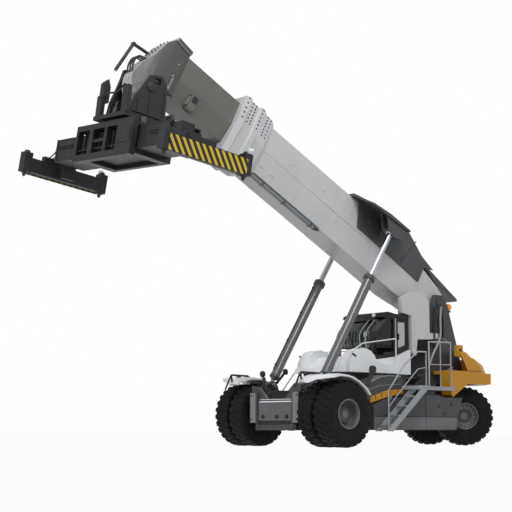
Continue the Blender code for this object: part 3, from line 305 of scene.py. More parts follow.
def lens(name, rgb, glow=0.0):
    """Ribbed lamp glass."""
    n = Nodes(name)
    ribs = n.add("ShaderNodeTexWave", {"Vector": n.coords, "Scale": 60.0}).outputs["Fac"]
    n.shade({"Base Color": n.mix(n.span(ribs, 0.2, 0.8), rgb,
                                 tuple(c * 0.75 for c in rgb)), "Roughness": 0.12, "Coat Weight": 0.6,
             "Emission Color": (*rgb, 1.0), "Emission Strength": glow, "Normal": n.bump(ribs, 0.3, 0.003)})
    return n.material


def cloth():
    """Woven seat cover."""
    n = Nodes("seat_fabric")
    weave = n.add("ShaderNodeTexBrick", {"Vector": n.coords, "Scale": 120.0, "Color1": (0.030, 0.031, 0.034),
                                         "Color2": (0.050, 0.051, 0.055), "Mortar": (0.012, 0.012, 0.013)})
    n.shade({"Base Color": weave.outputs["Color"], "Roughness": 0.9, "Sheen Weight": 0.3,
             "Normal": n.bump(weave.outputs["Fac"], 0.4, 0.001)})
    return n.material


MATERIALS = {
    "white": painted("white_paint", (0.84, 0.845, 0.85), rough=0.34, spread_of=0.04, dirt_amount=0.14,
                     dirt=(0.45, 0.43, 0.40), wear_and_highlight_amount=0.25, coat=0.3),
    # Boom paint: painted shade darkens it towards the boom's head.
    "boom": painted("boom_paint", (0.60, 0.60, 0.60), rough=0.36, spread_of=0.07, dirt=(0.30, 0.29, 0.27),
                    dirt_amount=0.30, wear_and_highlight_amount=0.25, coat=0.25, extra=painted_shade_towards_head),
    "barrel": painted("barrel_paint", (0.115, 0.118, 0.120), rough=0.26, spread_of=0.08, coat=0.5),
    "grey": painted("grey_paint", (0.052, 0.054, 0.056), rough=0.44, dirt=(0.20, 0.19, 0.17)),
    "dark_grey": painted("dark_grey_paint", (0.070, 0.072, 0.075), rough=0.42),
    "light_grey": painted("light_grey_paint", (0.36, 0.37, 0.38), rough=0.42, spread_of=0.12),
    # Nose paint: painted shade darkens the nose's flanks.
    "nose": painted("nose_paint", (0.42, 0.425, 0.42), rough=0.40, spread_of=0.10, extra=painted_flank_shade),
    "rim": painted("rim_paint", (0.15, 0.154, 0.158), rough=0.40, spread_of=0.15, metal=0.2),
    "light_rim": painted("cheek_paint", (0.24, 0.247, 0.252), rough=0.40, spread_of=0.15),
    "charcoal": painted("charcoal_paint", (0.015, 0.0152, 0.016), rough=0.46, spread_of=0.2,
                        wear_and_highlight_colour=(0.13, 0.13, 0.135), wear_and_highlight_amount=0.5, dirt=(0.06, 0.058, 0.055)),
    "olive": painted("olive_grey_paint", (0.125, 0.128, 0.112), rough=0.38, coat=0.2),
    "yellow": painted("yellow_paint", (0.60, 0.27, 0.006), rough=0.42, spread_of=0.07, coat=0.1,
                      dirt=(0.25, 0.15, 0.04), dirt_amount=0.25),
    "black": painted("black_plastic", (0.005, 0.005, 0.0053), rough=0.5, wear_and_highlight_colour=(0.035, 0.035, 0.036),
                     dirt=(0.03, 0.03, 0.03)),
    "steel": painted("bare_steel", (0.42, 0.42, 0.41), rough=0.34, metal=0.9, dirt=(0.12, 0.09, 0.06)),
    "galvanised": painted("galvanised_steel", (0.46, 0.47, 0.48), rough=0.42, metal=0.55, spread_of=0.2),
    "hose": painted("black_hose", (0.014, 0.014, 0.014), rough=0.6, wear_and_highlight_colour=(0.05, 0.05, 0.05)),
    "pale_pane": painted("pale_pane", (0.52, 0.53, 0.53), rough=0.15, coat=0.8, dirt_amount=0.1),
    "rubber": rubber(),
    "chrome": chrome(),
    "hazard": hazard(),
    "glass": window_glass(),
    "amber": lens("amber_lens", (0.85, 0.30, 0.01), 0.15),
    "red": lens("red_lens", (0.55, 0.02, 0.01)),
    "clear": lens("clear_lens", (0.80, 0.81, 0.80)),
    "dull_lens": lens("dull_lens", (0.30, 0.31, 0.30)),
    "fabric": cloth(),
    "hazard_knob": painted("knob_yellow", (0.55, 0.50, 0.08), rough=0.35),
}


# Mesh helpers: a Mould gathers forms in one mesh, and cast() makes the piece
class Mould:
    def __init__(self):
        self.bm = bmesh.new()

    def rings(self, rings, closed=False, cap=True):
        rows = [[self.bm.verts.new(p) for p in ring] for ring in rings]
        count = len(rows[0])
        spans = len(rows) if closed else len(rows) - 1
        for i in range(spans):
            a, b = rows[i], rows[(i + 1) % len(rows)]
            for k in range(count):
                k2 = (k + 1) % count
                self.bm.faces.new((a[k], a[k2], b[k2], b[k]))
        if cap and not closed:
            self.bm.faces.new(rows[0][::-1])
            self.bm.faces.new(rows[-1])

    def bar(self, points, depth):
        """A flat outline pushed along a vector."""
        depth = Vector(depth)
        self.rings([[Vector(p) for p in points], [Vector(p) + depth for p in points]])

    def box(self, centre, size, turn=None):
        half = Vector(size) / 2
        turn = turn or Matrix.Identity(3)
        corners = [(-1, -1), (1, -1), (1, 1), (-1, 1)]
        low = [Vector(centre) + turn @ Vector((a * half.x, b * half.y, -half.z)) for a, b in corners]
        high = [Vector(centre) + turn @ Vector((a * half.x, b * half.y, half.z)) for a, b in corners]
        self.rings([low, high])

    def turned(self, start, direction, profile, sides=32):
        start = Vector(start)
        axis = Vector(direction).normalized()
        side = axis.orthogonal().normalized()
        other = axis.cross(side)
        self.rings([around(start + axis * dist, side, other, radius, sides, 0.5) for dist, radius in profile])

    def rod(self, p0, p1, radius, sides=16):
        p0, p1 = Vector(p0), Vector(p1)
        length = (p1 - p0).length
        edge = min(radius * 0.15, 0.004)
        self.turned(p0, p1 - p0, [(0, radius - edge), (edge, radius), (length - edge, radius),
                                  (length, radius - edge)], sides)

    def tube(self, path, radius, sides=10, steps=6):
        """A round bar or hose on a smooth line through the points."""
        points = smooth_line([Vector(p) for p in path], steps)
        tangent = (points[1] - points[0]).normalized()
        side = tangent.orthogonal().normalized()
        rings = []
        for i, point in enumerate(points):
            ahead = points[min(i + 1, len(points) - 1)] - points[max(i - 1, 0)]
            tangent = ahead.normalized()
            side = (side - tangent * side.dot(tangent)).normalized()
            other = tangent.cross(side)
            rings.append(around(point, side, other, radius, sides))
        self.rings(rings)

    def bolt(self, point, direction, radius=0.016, height=0.014):
        """A washer with a hexagon head on it."""
        self.turned(point, direction, [(0, radius * 1.5), (0.004, radius * 1.5)], 14)
        self.turned(Vector(point) + Vector(direction).normalized() * 0.004, direction,
                    [(0, radius), (height * 0.8, radius), (height, radius * 0.8)], 6)

    def cast(self, name, colour, body, angle=32.0, bevel=0.0):
        bmesh.ops.recalc_face_normals(self.bm, faces=self.bm.faces)
        mesh = bpy.data.meshes.new(name)
        self.bm.to_mesh(mesh)
        self.bm.free()
        mesh.shade_smooth()
        mesh.set_sharp_from_angle(angle=math.radians(angle))
        obj = bpy.data.objects.new(name, mesh)
        bpy.context.scene.collection.objects.link(obj)
        mesh.materials.append(MATERIALS[colour])
        if bevel:
            edge = obj.modifiers.new("edge", "BEVEL")
            edge.width = bevel
            edge.segments = 2
            edge.limit_method = "ANGLE"
            edge.angle_limit = math.radians(40.0)
            edge.harden_normals = True
        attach(obj, body)
        return obj


def smooth_line(points, steps):
    """Catmull-Rom points through a path, with its ends kept."""
    if len(points) < 3 or steps < 2:
        return points
    padded = [points[0] * 2 - points[1]] + points + [points[-1] * 2 - points[-2]]
    line = []
    for i in range(1, len(padded) - 2):
        a, b, c, d = padded[i - 1:i + 3]
        for k in range(steps):
            u = k / steps
            line.append(0.5 * ((2 * b) + (c - a) * u + (2 * a - 5 * b + 4 * c - d) * u * u
                               + (3 * b - a - 3 * c + d) * u ** 3))
    return line + [points[-1]]


# Finish of the nodes that stay: colour and the angle under which their edges are shaded round
NODE_LOOKS = {
    "main_frame": ("grey", 22), "rear_axle": ("charcoal", 34), "knuckle_left": ("charcoal", 34),
    "knuckle_right": ("charcoal", 34), "side_tank_left": ("grey", 12), "side_tank_right": ("grey", 12),
    "side_strip_left": ("yellow", 12), "side_strip_right": ("yellow", 12),
    "access_left": ("light_grey", 74), "access_right": ("light_grey", 74),
    "tower": ("grey", 16), "tower_cover_left": ("boom", 30), "tower_cover_right": ("boom", 30),
    "fender_left": ("white", 46), "fender_right": ("white", 46), "counterweight": ("yellow", 26),
    "engine_block": ("charcoal", 20), "cab_base": ("white", 40), "cab_frame": ("black", 24),
    "cab_glass": ("glass", 24), "cab_door": ("black", 30), "console": ("charcoal", 30),
    "pivot_pin": ("steel", 30), "boom_outer": ("boom", 12), "boom_shoulder": ("dark_grey", 18),
    "boom_inner": ("olive", 12), "boom_nose": ("nose", 14), "head_yoke": ("charcoal", 24),
    "rotator_frame": ("charcoal", 24), "spreader_trunk": ("charcoal", 30),
    "spreader_arm_left": ("charcoal", 40), "spreader_arm_right": ("charcoal", 40),
    "hazard_panel_left": ("hazard", 20), "hazard_panel_right": ("hazard", 20),
    "lift_barrel_left": ("barrel", 26), "lift_barrel_right": ("barrel", 26),
    "lift_rod_left": ("chrome", 26), "lift_rod_right": ("chrome", 26),
    "beacon_left": ("amber", 34), "beacon_right": ("amber", 34),
}


def smoothing(angle):
    """A modifier group that joins split corners and shades edges under the angle round."""
    name = f"smooth_{angle}"
    if name in bpy.data.node_groups:
        return bpy.data.node_groups[name]
    tree = bpy.data.node_groups.new(name, "GeometryNodeTree")
    tree.interface.new_socket("Geometry", in_out="INPUT", socket_type="NodeSocketGeometry")
    tree.interface.new_socket("Geometry", in_out="OUTPUT", socket_type="NodeSocketGeometry")
    source = tree.nodes.new("NodeGroupInput")
    target = tree.nodes.new("NodeGroupOutput")
    weld = tree.nodes.new("GeometryNodeMergeByDistance")
    weld.inputs["Distance"].default_value = 0.0001
    faces = tree.nodes.new("GeometryNodeSetShadeSmooth")
    edges = tree.nodes.new("GeometryNodeSetShadeSmooth")
    edges.domain = "EDGE"
    bend = tree.nodes.new("GeometryNodeInputMeshEdgeAngle")
    under = tree.nodes.new("FunctionNodeCompare")
    under.operation = "LESS_THAN"
    under.inputs[1].default_value = math.radians(angle)
    link = tree.links.new
    link(source.outputs[0], weld.inputs["Geometry"])
    link(weld.outputs["Geometry"], faces.inputs["Geometry"])
    link(faces.outputs["Geometry"], edges.inputs["Geometry"])
    link(bend.outputs["Unsigned Angle"], under.inputs[0])
    link(under.outputs["Result"], edges.inputs["Shade Smooth"])
    link(edges.outputs["Geometry"], target.inputs[0])
    return tree


def dress_nodes():
    for name, (colour, angle) in NODE_LOOKS.items():
        node = frame["nodes"][name]
        node.data.materials.clear()
        node.data.materials.append(MATERIALS[colour])
        split = node.data.attributes.get("custom_normal")
        if split:
            node.data.attributes.remove(split)
        modifier = node.modifiers.new("smooth", "NODES")
        modifier.node_group = smoothing(angle)


# Wheels
CARCASS = [
    # across the tyre, radius
    (0.205, 0.350), (0.228, 0.372), (0.238, 0.42), (0.247, 0.50), (0.2485, 0.555), (0.2500, 0.565),
    (0.2500, 0.585), (0.2485, 0.595), (0.248, 0.65), (0.243, 0.70), (0.230, 0.745), (0.205, 0.775),
    (0.12, 0.789),
]
LUG_SECTIONS = [
    # across at the foot, radius there, across at the top, radius there, turn, half width of the lug
    (0.010, 0.784, 0.014, 0.8160, 0.000, 0.034),
    (0.080, 0.784, 0.082, 0.8185, 0.012, 0.050),
    (0.160, 0.778, 0.165, 0.8170, 0.034, 0.066),
    (0.200, 0.766, 0.218, 0.8060, 0.048, 0.074),
    (0.222, 0.744, 0.2400, 0.784, 0.056, 0.076),
    (0.236, 0.714, 0.2490, 0.742, 0.058, 0.070),
    (0.243, 0.680, 0.2500, 0.696, 0.058, 0.052),
]
CARCASS_STEPS = 104


def tyre(mould, centre, axis):
    """A lugged yard tyre: a smooth carcass, with lugs that lap over both shoulders."""
    axis = Vector(axis).normalized()
    up = Vector((0, 0, 1))
    ahead = up.cross(axis).normalized()

    def point(angle, across, radius):
        return centre + axis * across + (ahead * math.cos(angle) + up * math.sin(angle)) * radius

    ring = CARCASS + [(0.0, 0.792)] + [(-a, r) for a, r in reversed(CARCASS)]
    mould.rings([[point(2 * math.pi * i / CARCASS_STEPS, a, r) for a, r in ring]
                 for i in range(CARCASS_STEPS)], closed=True)
    for k in range(LUGS):
        for side in (1, -1):
            start = 2 * math.pi * (k + (0.5 if side > 0 else 0.0)) / LUGS
            sections = []
            for foot, foot_r, top, top_r, turn, half in LUG_SECTIONS:
                middle = start + turn * side
                sections.append([
                    point(middle - half, side * foot, foot_r), point(middle + half, side * foot, foot_r),
                    point(middle + half * 0.86, side * top, top_r),
                    point(middle - half * 0.86, side * top, top_r)])
            mould.rings(sections)


RIM_FRONT = [
    (-0.79, 0.05), (-0.79, 0.345), (0.19, 0.345), (0.205, 0.362), (0.228, 0.374), (0.242, 0.368),
    (0.246, 0.352), (0.236, 0.338), (0.205, 0.330), (0.19, 0.322), (0.10, 0.318), (0.06, 0.312),
    (0.02, 0.300), (0.0, 0.285), (-0.004, 0.215), (0.0, 0.208), (0.055, 0.200), (0.070, 0.190),
    (0.076, 0.150), (0.078, 0.10), (0.098, 0.095), (0.104, 0.080), (0.106, 0.002),
]
RIM_REAR = [
    (-0.214, 0.05), (-0.214, 0.345), (0.19, 0.345), (0.205, 0.362), (0.228, 0.374), (0.242, 0.368),
    (0.246, 0.352), (0.236, 0.338), (0.205, 0.330), (0.19, 0.322), (0.165, 0.312), (0.150, 0.290),
    (0.146, 0.235), (0.138, 0.215), (0.06, 0.205), (0.055, 0.185), (0.055, 0.115), (0.085, 0.105),
    (0.092, 0.085), (0.094, 0.002),
]


def wheel(word, place, centre, axis, tyres, profile, nut_ring, body):
    """One wheel: its tyres, its dished rim, the nuts and the dark hub."""
    mould = Mould()
    for offset in tyres:
        tyre(mould, centre + axis * offset, axis)
    piece = mould.cast(f"tyre_{place}_{word}_lugged", "rubber", body, angle=28, bevel=0.007)
    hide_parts(f"tyres_front_{word}" if place == "front" else f"tyre_rear_{word}")
    mould = Mould()
    mould.turned(centre, axis, profile, 64)
    piece = mould.cast(f"rim_{place}_{word}_dished", "rim", body, angle=34)
    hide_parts(f"rim_{place}_{word}")
    mould = Mould()
    side = axis.orthogonal().normalized()
    other = axis.cross(side)
    nut_radius, nut_seat, hub_radius, hub_seat = nut_ring
    for point in around(centre + axis * nut_seat, side, other, nut_radius, 16):
        mould.bolt(point, axis, 0.016, 0.03)
    for point in around(centre + axis * hub_seat, side, other, hub_radius, 10, 0.5):
        mould.bolt(point, axis, 0.011, 0.012)
    mould.cast(f"rim_{place}_{word}_nuts", "dark_grey", body, angle=30)
    mould = Mould()
    mould.turned(centre + axis * (hub_seat + 0.0005), axis,
                 [(0, hub_radius + 0.03), (0.006, hub_radius + 0.03), (0.008, hub_radius + 0.026)], 48)
    mould.cast(f"rim_{place}_{word}_hub_plate", "dark_grey", body, angle=30)


def wheels():
    for side, word in SIDES:
        centre = at(0.0, side * FRONT_OUTER_Y, TYRE_R)
        wheel(word, "front", centre, Vector((0, side, 0)), (0.0, -DUAL_PITCH), RIM_FRONT,
              (0.250, -0.004, 0.145, 0.0755), f"front_wheels_{word}")
        joint = JOINTS[f"rear_wheel_{word}_spin"]
        axis = Vector(joint["axis"]).normalized()
        axis = axis if axis.y * side > 0 else -axis
        wheel(word, "rear", Vector(joint["pos_m"]), axis, (0.0,), RIM_REAR,
              (0.262, 0.147, 0.150, 0.0545), f"rear_wheel_{word}")


# Boom details
OUTER_SIDE = [(0.42, 0.81), (0.46, 0.07), (0.34, -0.56)]
DOT_ROWS = [
    # s, growth of the collar there, dots
    (7.62, 0.092, 6), (7.74, 0.101, 7), (7.98, 0.150, 6), (8.20, 0.114, 7), (8.31, 0.118, 6),
    (8.50, 0.150, 5),
]
PIPE_Y = 0.29
PIPE_T = -0.618
PIPE_R = 0.055
SEAMS_S = (3.05, 4.45, 5.95, 7.10)


def side_point(s, side, share, grow=0.0):
    """A point on the boom's upper side plate: share 0 at the kink line, 1 at the top."""
    (top_y, top_t), (kink_y, kink_t) = OUTER_SIDE[:2]
    y = kink_y + (top_y - kink_y) * share + grow
    t = kink_t + (top_t + grow - kink_t) * share
    return boom(s, side * y, t)


def boom_details():
    square = (boom(0, 0, 1) - boom(0, 0, 0)).normalized()
    # Painted shade: black discs stand for the collar's perforations, dark with the shade inside them.
    dots = Mould()
    for s, grow, count in DOT_ROWS:
        for side in (1, -1):
            out = Vector((0, side, 0)) + square * 0.06
            for k in range(count):
                share = 0.30 + 0.66 * k / (count - 1)
                dots.turned(side_point(s, side, share, grow), out, [(-0.004, 0.024), (0.003, 0.024)], 12)
        for k in range(4):
            dots.turned(boom(s, -0.27 + 0.18 * k, 0.81 + grow), square, [(-0.004, 0.024), (0.003, 0.024)], 12)
    dots.cast("collar_perforation_shade", "black", "outer_boom")
    seams = Mould()
    for s in SEAMS_S:
        for side in (1, -1):
            low, high = side_point(s, side, 0.0), side_point(s, side, 0.98)
            seams.rod(low, high, 0.006, 6)
            seams.rod(boom(s, side * 0.46, 0.07), boom(s, side * 0.345, -0.545), 0.006, 6)
    for side in (1, -1):
        seams.rod(boom(3.0, side * 0.4605, 0.10), boom(7.40, side * 0.4605, 0.075), 0.005, 6)
    seams.cast("boom_weld_seams", "boom", "outer_boom")
    fittings = Mould()
    for side in (1, -1):
        for s in (4.10, 5.20, 6.40):
            fittings.turned(side_point(s, side, 0.42), (0, side, 0),
                            [(-0.02, 0.045), (0.008, 0.045), (0.012, 0.038)], 24)
        for s in (6.85, 7.25):
            fittings.box(boom(s, side * 0.395, -0.25), (0.16, 0.012, 0.10),
                         BOOM_TURN)
    fittings.cast("boom_access_plugs", "boom", "outer_boom", bevel=0.002)
    pipe = Mould()
    pipe.tube([boom(s, PIPE_Y, PIPE_T) for s in (4.95, 5.6, 6.4, 7.38)], PIPE_R, 20, 2)
    pipe.cast("boom_under_pipe", "light_rim", "outer_boom")
    clamps = Mould()
    tip = boom(4.95, PIPE_Y, PIPE_T) - boom(4.72, PIPE_Y, PIPE_T + 0.045)
    clamps.turned(boom(4.95, PIPE_Y, PIPE_T), -tip, [(-0.02, PIPE_R + 0.004), (0.03, PIPE_R), (0.20, 0.022)],
                  20)
    for s in (5.10, 6.15, 6.98):
        clamps.box(boom(s, PIPE_Y, PIPE_T + 0.012), (0.06, 2 * PIPE_R + 0.02, 2 * PIPE_R + 0.02),
                   BOOM_TURN)
    for side in (1, -1):
        clamps.bar([boom(4.80, side * 0.345, -0.54), boom(7.38, side * 0.345, -0.54),
                    boom(7.38, side * 0.341, -0.562), boom(4.80, side * 0.341, -0.562)], (0, side * 0.006, 0))
    clamps.cast("boom_pipe_clamps", "dark_grey", "outer_boom", bevel=0.003)
    rib = Mould()
    for side in (1, -1):
        for s, low, high in ((3.10, 0.22, 1.10), (1.85, 0.20, 1.12)):
            rib.bar([boom(s, side * 0.491, low), boom(s + 0.03, side * 0.491, low),
                     boom(s + 0.03 - 0.28, side * 0.491, high), boom(s - 0.28, side * 0.491, high)],
                    (0, side * 0.02, 0))
        rib.turned(boom(3.42, side * 0.49, 0.60), (0, side, 0), [(0, 0.10), (0.02, 0.10), (0.026, 0.09)], 28)
    rib.cast("shoulder_ribs", "dark_grey", "outer_boom", bevel=0.003)
    eyes = Mould()
    for side in (1, -1):
        eye = CYL_EYE + SHIFT
        for step in (-1, 1):
            y = side * CYL_Y + step * (0.09 + 0.0403)
            eyes.turned((eye.x, y, eye.z), (0, step, 0), [(0, 0.10), (0.018, 0.10), (0.024, 0.092)], 28)
            for point in around((eye.x, y + step * 0.022, eye.z), AHEAD, UP, 0.07, 4, 0.5):
                eyes.bolt(point, (0, step, 0), 0.010, 0.010)
    eyes.cast("lift_pin_caps", "steel", "outer_boom", bevel=0.002)


def inner_boom_details():
    face = boom(9.98, 0.395, -0.24)
    along = (boom(1, 0, 0) - boom(0, 0, 0)).normalized()
    lamp = Mould()
    lamp.box(face + along * 0.004, (0.016, 0.13, 0.26), BOOM_TURN)
    lamp.cast("boom_lamp_lens", "dull_lens", "inner_boom", bevel=0.012)
    # Painted shade: charcoal plates stand for the lamp recess beside and round the lens.
    recess = Mould()
    recess.box(boom(9.85, 0.4925, -0.16), (0.16, 0.012, 0.18), BOOM_TURN)
    recess.box(face + along * 0.002, (0.010, 0.17, 0.32), BOOM_TURN)
    recess.cast("boom_lamp_recess_shade", "charcoal", "inner_boom", bevel=0.003)
    hoses = Mould()
    for k in range(3):
        y = -0.12 + 0.10 * k
        hoses.tube([boom(11.30, y, 0.10), boom(11.52, y, 0.02), boom(11.56, y, -0.25), boom(11.44, y, -0.52)],
                   0.022, 10, 8)
    hoses.cast("nose_hoses", "hose", "inner_boom")
    plates = Mould()
    for s, top in ((10.55, 0.92), (10.75, 0.93)):
        for y in (-0.20, 0.0, 0.20):
            plates.bolt(boom(s, y, top + 0.012), boom(0, 0, 1) - boom(0, 0, 0), 0.018, 0.016)
    for side in (1, -1):
        for t in (-0.30, 0.05, 0.40):
            plates.bolt(boom(10.60, side * 0.361, t), (0, side, 0), 0.018, 0.014)
    plates.cast("nose_bolts", "steel", "inner_boom")
    vents = Mould()
    for k in range(7):
        for j in range(3):
            vents.turned(boom(11.02 + 0.045 * k, -0.18 + 0.14 * j, 0.86 - 0.105 * k),
                         boom(0.5, 0, 0.6) - boom(0, 0, 0), [(-0.01, 0.020), (0.012, 0.020)], 10)
    vents.cast("nose_spots", "grey", "inner_boom")
    sleeve = Mould()
    sleeve.tube([boom(11.05, -0.26, 0.48), boom(11.62, -0.28, 0.42)], 0.042, 12, 1)
    sleeve.tube([boom(11.62, -0.28, 0.42), boom(11.72, -0.30, -0.48)], 0.042, 12, 1)
    sleeve.turned(boom(11.62, -0.28, 0.42) - Vector((0, 0.045, 0)), (0, 1, 0), [(0, 0.046), (0.09, 0.046)],
                  16)
    sleeve.cast("nose_bumper_sleeve", "charcoal", "inner_boom", bevel=0.003)


# Spreader details
def yoke_details():
    caps = Mould()
    for side in (1, -1):
        out = HANG_TURN @ Vector((0, side, 0))
        caps.turned(hang(0, side * 0.56, 0), out, [(0, 0.115), (0.02, 0.115), (0.026, 0.105)], 32)
        for point in around((0, side * 0.584, 0), AHEAD, UP, 0.085, 6):
            caps.bolt(hang(*point), out, 0.011, 0.010)
    caps.cast("tilt_pin_caps", "charcoal", "yoke", bevel=0.002)
    stiff = Mould()
    for x, low, high in ((-0.40, -0.72, -0.05), (0.0, -0.72, -0.18), (0.34, -0.72, -0.36)):
        stiff.box(hang(x, 0.562, (low + high) / 2), (0.03, 0.024, high - low), HANG_TURN)
    stiff.box(hang(0.0, 0.566, -0.70), (0.96, 0.034, 0.04), HANG_TURN)
    stiff.box(hang(-0.17, 0.555, 0.275), (0.26, 0.014, 0.03), HANG_TURN)
    stiff.cast("yoke_stiffeners", "charcoal", "yoke", bevel=0.004)
    cylinders = Mould()
    for side in (1, -1):
        foot, eye = hang(0.40, side * 0.36, -0.70), hang(0.30, side * 0.36, -0.26)
        cylinders.rod(foot, foot.lerp(eye, 0.62), 0.045, 20)
        cylinders.rod(foot.lerp(eye, 0.6), eye, 0.024, 16)
    cylinders.cast("yoke_damping_cylinders", "dark_grey", "yoke")
    hoses = Mould()
    for k in range(4):
        y = 0.34 - 0.12 * k
        hoses.tube([hang(-0.34, y, -0.46), hang(-0.56, y, -0.40), hang(-0.62, y - 0.02, -0.62),
                    hang(-0.50, y - 0.03, -0.76)], 0.02, 10, 8)
    hoses.tube([hang(0.62, 0.50, -0.16), hang(0.64, 0.36, -0.08), hang(0.62, 0.10, -0.20),
                hang(0.60, -0.30, -0.16), hang(0.62, -0.50, -0.22)], 0.022, 10, 8)
    hoses.cast("yoke_hoses", "hose", "yoke")


def rotator_details():
    ring = Mould()
    up = SPREAD_TURN @ UP
    for point in around((0, 0, -0.9403), AHEAD, LEFT, 0.54, 24, 0.5):
        ring.bolt(spread(*point), up, 0.014, 0.016)
    ring.cast("rotator_ring_bolts", "steel", "rotator")
    boxes = Mould()
    face = TRUNK_FRONT + 0.205
    for y in (-1.14, -0.52, 0.09, 0.62, 1.12):
        for z in (-1.18, -1.62):
            boxes.bolt(spread(face - 0.005, y, z), SPREAD_TURN @ AHEAD, 0.016, 0.014)
    for low, high in ((-1.10, -0.60), (-0.44, 0.04), (0.14, 0.56)):
        middle = (low + high) / 2
        boxes.box(spread(TRUNK_FRONT + 0.11, middle, -1.56), (0.10, high - low - 0.04, 0.022), SPREAD_TURN)
        boxes.box(spread(TRUNK_FRONT + 0.12, middle, -1.40), (0.05, 0.022, 0.40), SPREAD_TURN)
    boxes.box(spread(face + 0.006, 0.87, -1.36), (0.012, 0.50, 0.34), SPREAD_TURN)
    boxes.box(spread(face + 0.016, 0.87, -1.36), (0.012, 0.30, 0.16), SPREAD_TURN)
    boxes.cast("rotator_frame_fittings", "charcoal", "rotator", bevel=0.003)
    hoses = Mould()
    for k in range(3):
        x = 0.40 + 0.08 * k
        hoses.tube([spread(x, 0.50, -1.02), spread(x + 0.04, 0.66, -0.92), spread(x + 0.03, 0.86, -0.95),
                    spread(x, 1.00, -1.03)], 0.018, 10, 8)
        hoses.tube([spread(x, -0.46, -1.02), spread(x + 0.03, -0.64, -0.90), spread(x, -0.90, -1.03)],
                   0.018, 10, 8)
    hoses.cast("rotator_hoses", "hose", "rotator")
    motors = Mould()
    for y in (-0.78, 0.74):
        motors.turned(spread(0.30, y, -1.03), up,
                      [(0, 0.11), (0.12, 0.11), (0.13, 0.07), (0.24, 0.07), (0.26, 0.05)], 24)
    motors.cast("slewing_motors", "dark_grey", "rotator", bevel=0.004)


def trunk_details():
    edges = Mould()
    for side in (1, -1):
        y = side * (TRUNK_END - 0.02)
        edges.box(spread(TRUNK_FRONT + 0.006, y, -1.40), (0.016, 0.05, 0.58), SPREAD_TURN)
        for z in (-1.20, -1.34, -1.48, -1.62):
            edges.bolt(spread(TRUNK_FRONT + 0.013, y, z), SPREAD_TURN @ AHEAD, 0.012, 0.010)
    for z in (TRUNK_TOP - 0.012, TRUNK_BOTTOM + 0.012):
        for side in (1, -1):
            edges.box(spread(TRUNK_FRONT + 0.006, side * 1.98, z), (0.014, 0.72, 0.026), SPREAD_TURN)
    edges.cast("trunk_end_frames", "charcoal", "trunk", bevel=0.002)
    pipes = Mould()
    for k in range(2):
        z = -1.30 - 0.06 * k
        pipes.tube([spread(TRUNK_FRONT + 0.022, 1.60, z), spread(TRUNK_FRONT + 0.022, 2.30, z)], 0.013, 8, 1)
        pipes.tube([spread(TRUNK_FRONT + 0.022, -1.60, z), spread(TRUNK_FRONT + 0.022, -2.30, z)], 0.013, 8,
                   1)
    pipes.cast("trunk_pipes", "hose", "trunk")


def arm_details():
    for side, word in SIDES:
        fittings = Mould()
        lamps = Mould()
        for sx in (1, -1):
            corner = (sx * LOCK_X, side * LOCK_Y)
            fittings.box(spread(corner[0], corner[1] + side * 0.125, BEAM_TOP + 0.04), (0.18, 0.012, 0.12),
                         SPREAD_TURN)
            fittings.turned(spread(*corner, BEAM_BOTTOM + 0.001), SPREAD_TURN @ Vector((0, 0, -1)),
                            [(0, 0.085), (0.014, 0.085), (0.018, 0.075)], 24)
            for dx in (-0.07, 0.07):
                for dz in (0.0, 0.08):
                    fittings.bolt(spread(corner[0] + dx, corner[1] + side * 0.131, BEAM_TOP + dz),
                                  SPREAD_TURN @ Vector((0, side, 0)), 0.011, 0.009)
            fittings.turned(spread(*corner, BEAM_TOP + 0.1205), SPREAD_TURN @ UP,
                            [(0, 0.07), (0.05, 0.07), (0.06, 0.055)], 20)
        for dz in (BEAM_BOTTOM - 0.006, BEAM_TOP - 0.002):
            fittings.box(spread(0, side * (LOCK_Y + 0.128), dz), (2.22, 0.03, 0.016), SPREAD_TURN)
        fittings.cast(f"arm_{word}_fittings", "charcoal", f"arm_{word}", bevel=0.002)
        lamps.turned(spread(-LOCK_X - 0.02, side * (LOCK_Y + 0.10), BEAM_TOP + 0.16), SPREAD_TURN @ UP,
                     [(-0.04, 0.05), (0.0, 0.075), (0.06, 0.075), (0.09, 0.055), (0.10, 0.02)], 24)
        lamps.cast(f"arm_{word}_lamp", "clear", f"arm_{word}", angle=50)
        hoses = Mould()
        for k in range(2):
            hoses.tube([spread(0.30 + 0.1 * k, side * (TRUNK_END + 0.05), TRUNK_TOP - 0.10),
                        spread(0.34 + 0.1 * k, side * (TRUNK_END + 0.18), TRUNK_TOP - 0.06),
                        spread(0.40 + 0.1 * k, side * (LOCK_Y - 0.16), BEAM_TOP + 0.20),
                        spread(0.44 + 0.1 * k, side * (LOCK_Y - 0.02), BEAM_TOP + 0.12)], 0.016, 10, 8)
        hoses.cast(f"arm_{word}_hoses", "hose", f"arm_{word}")


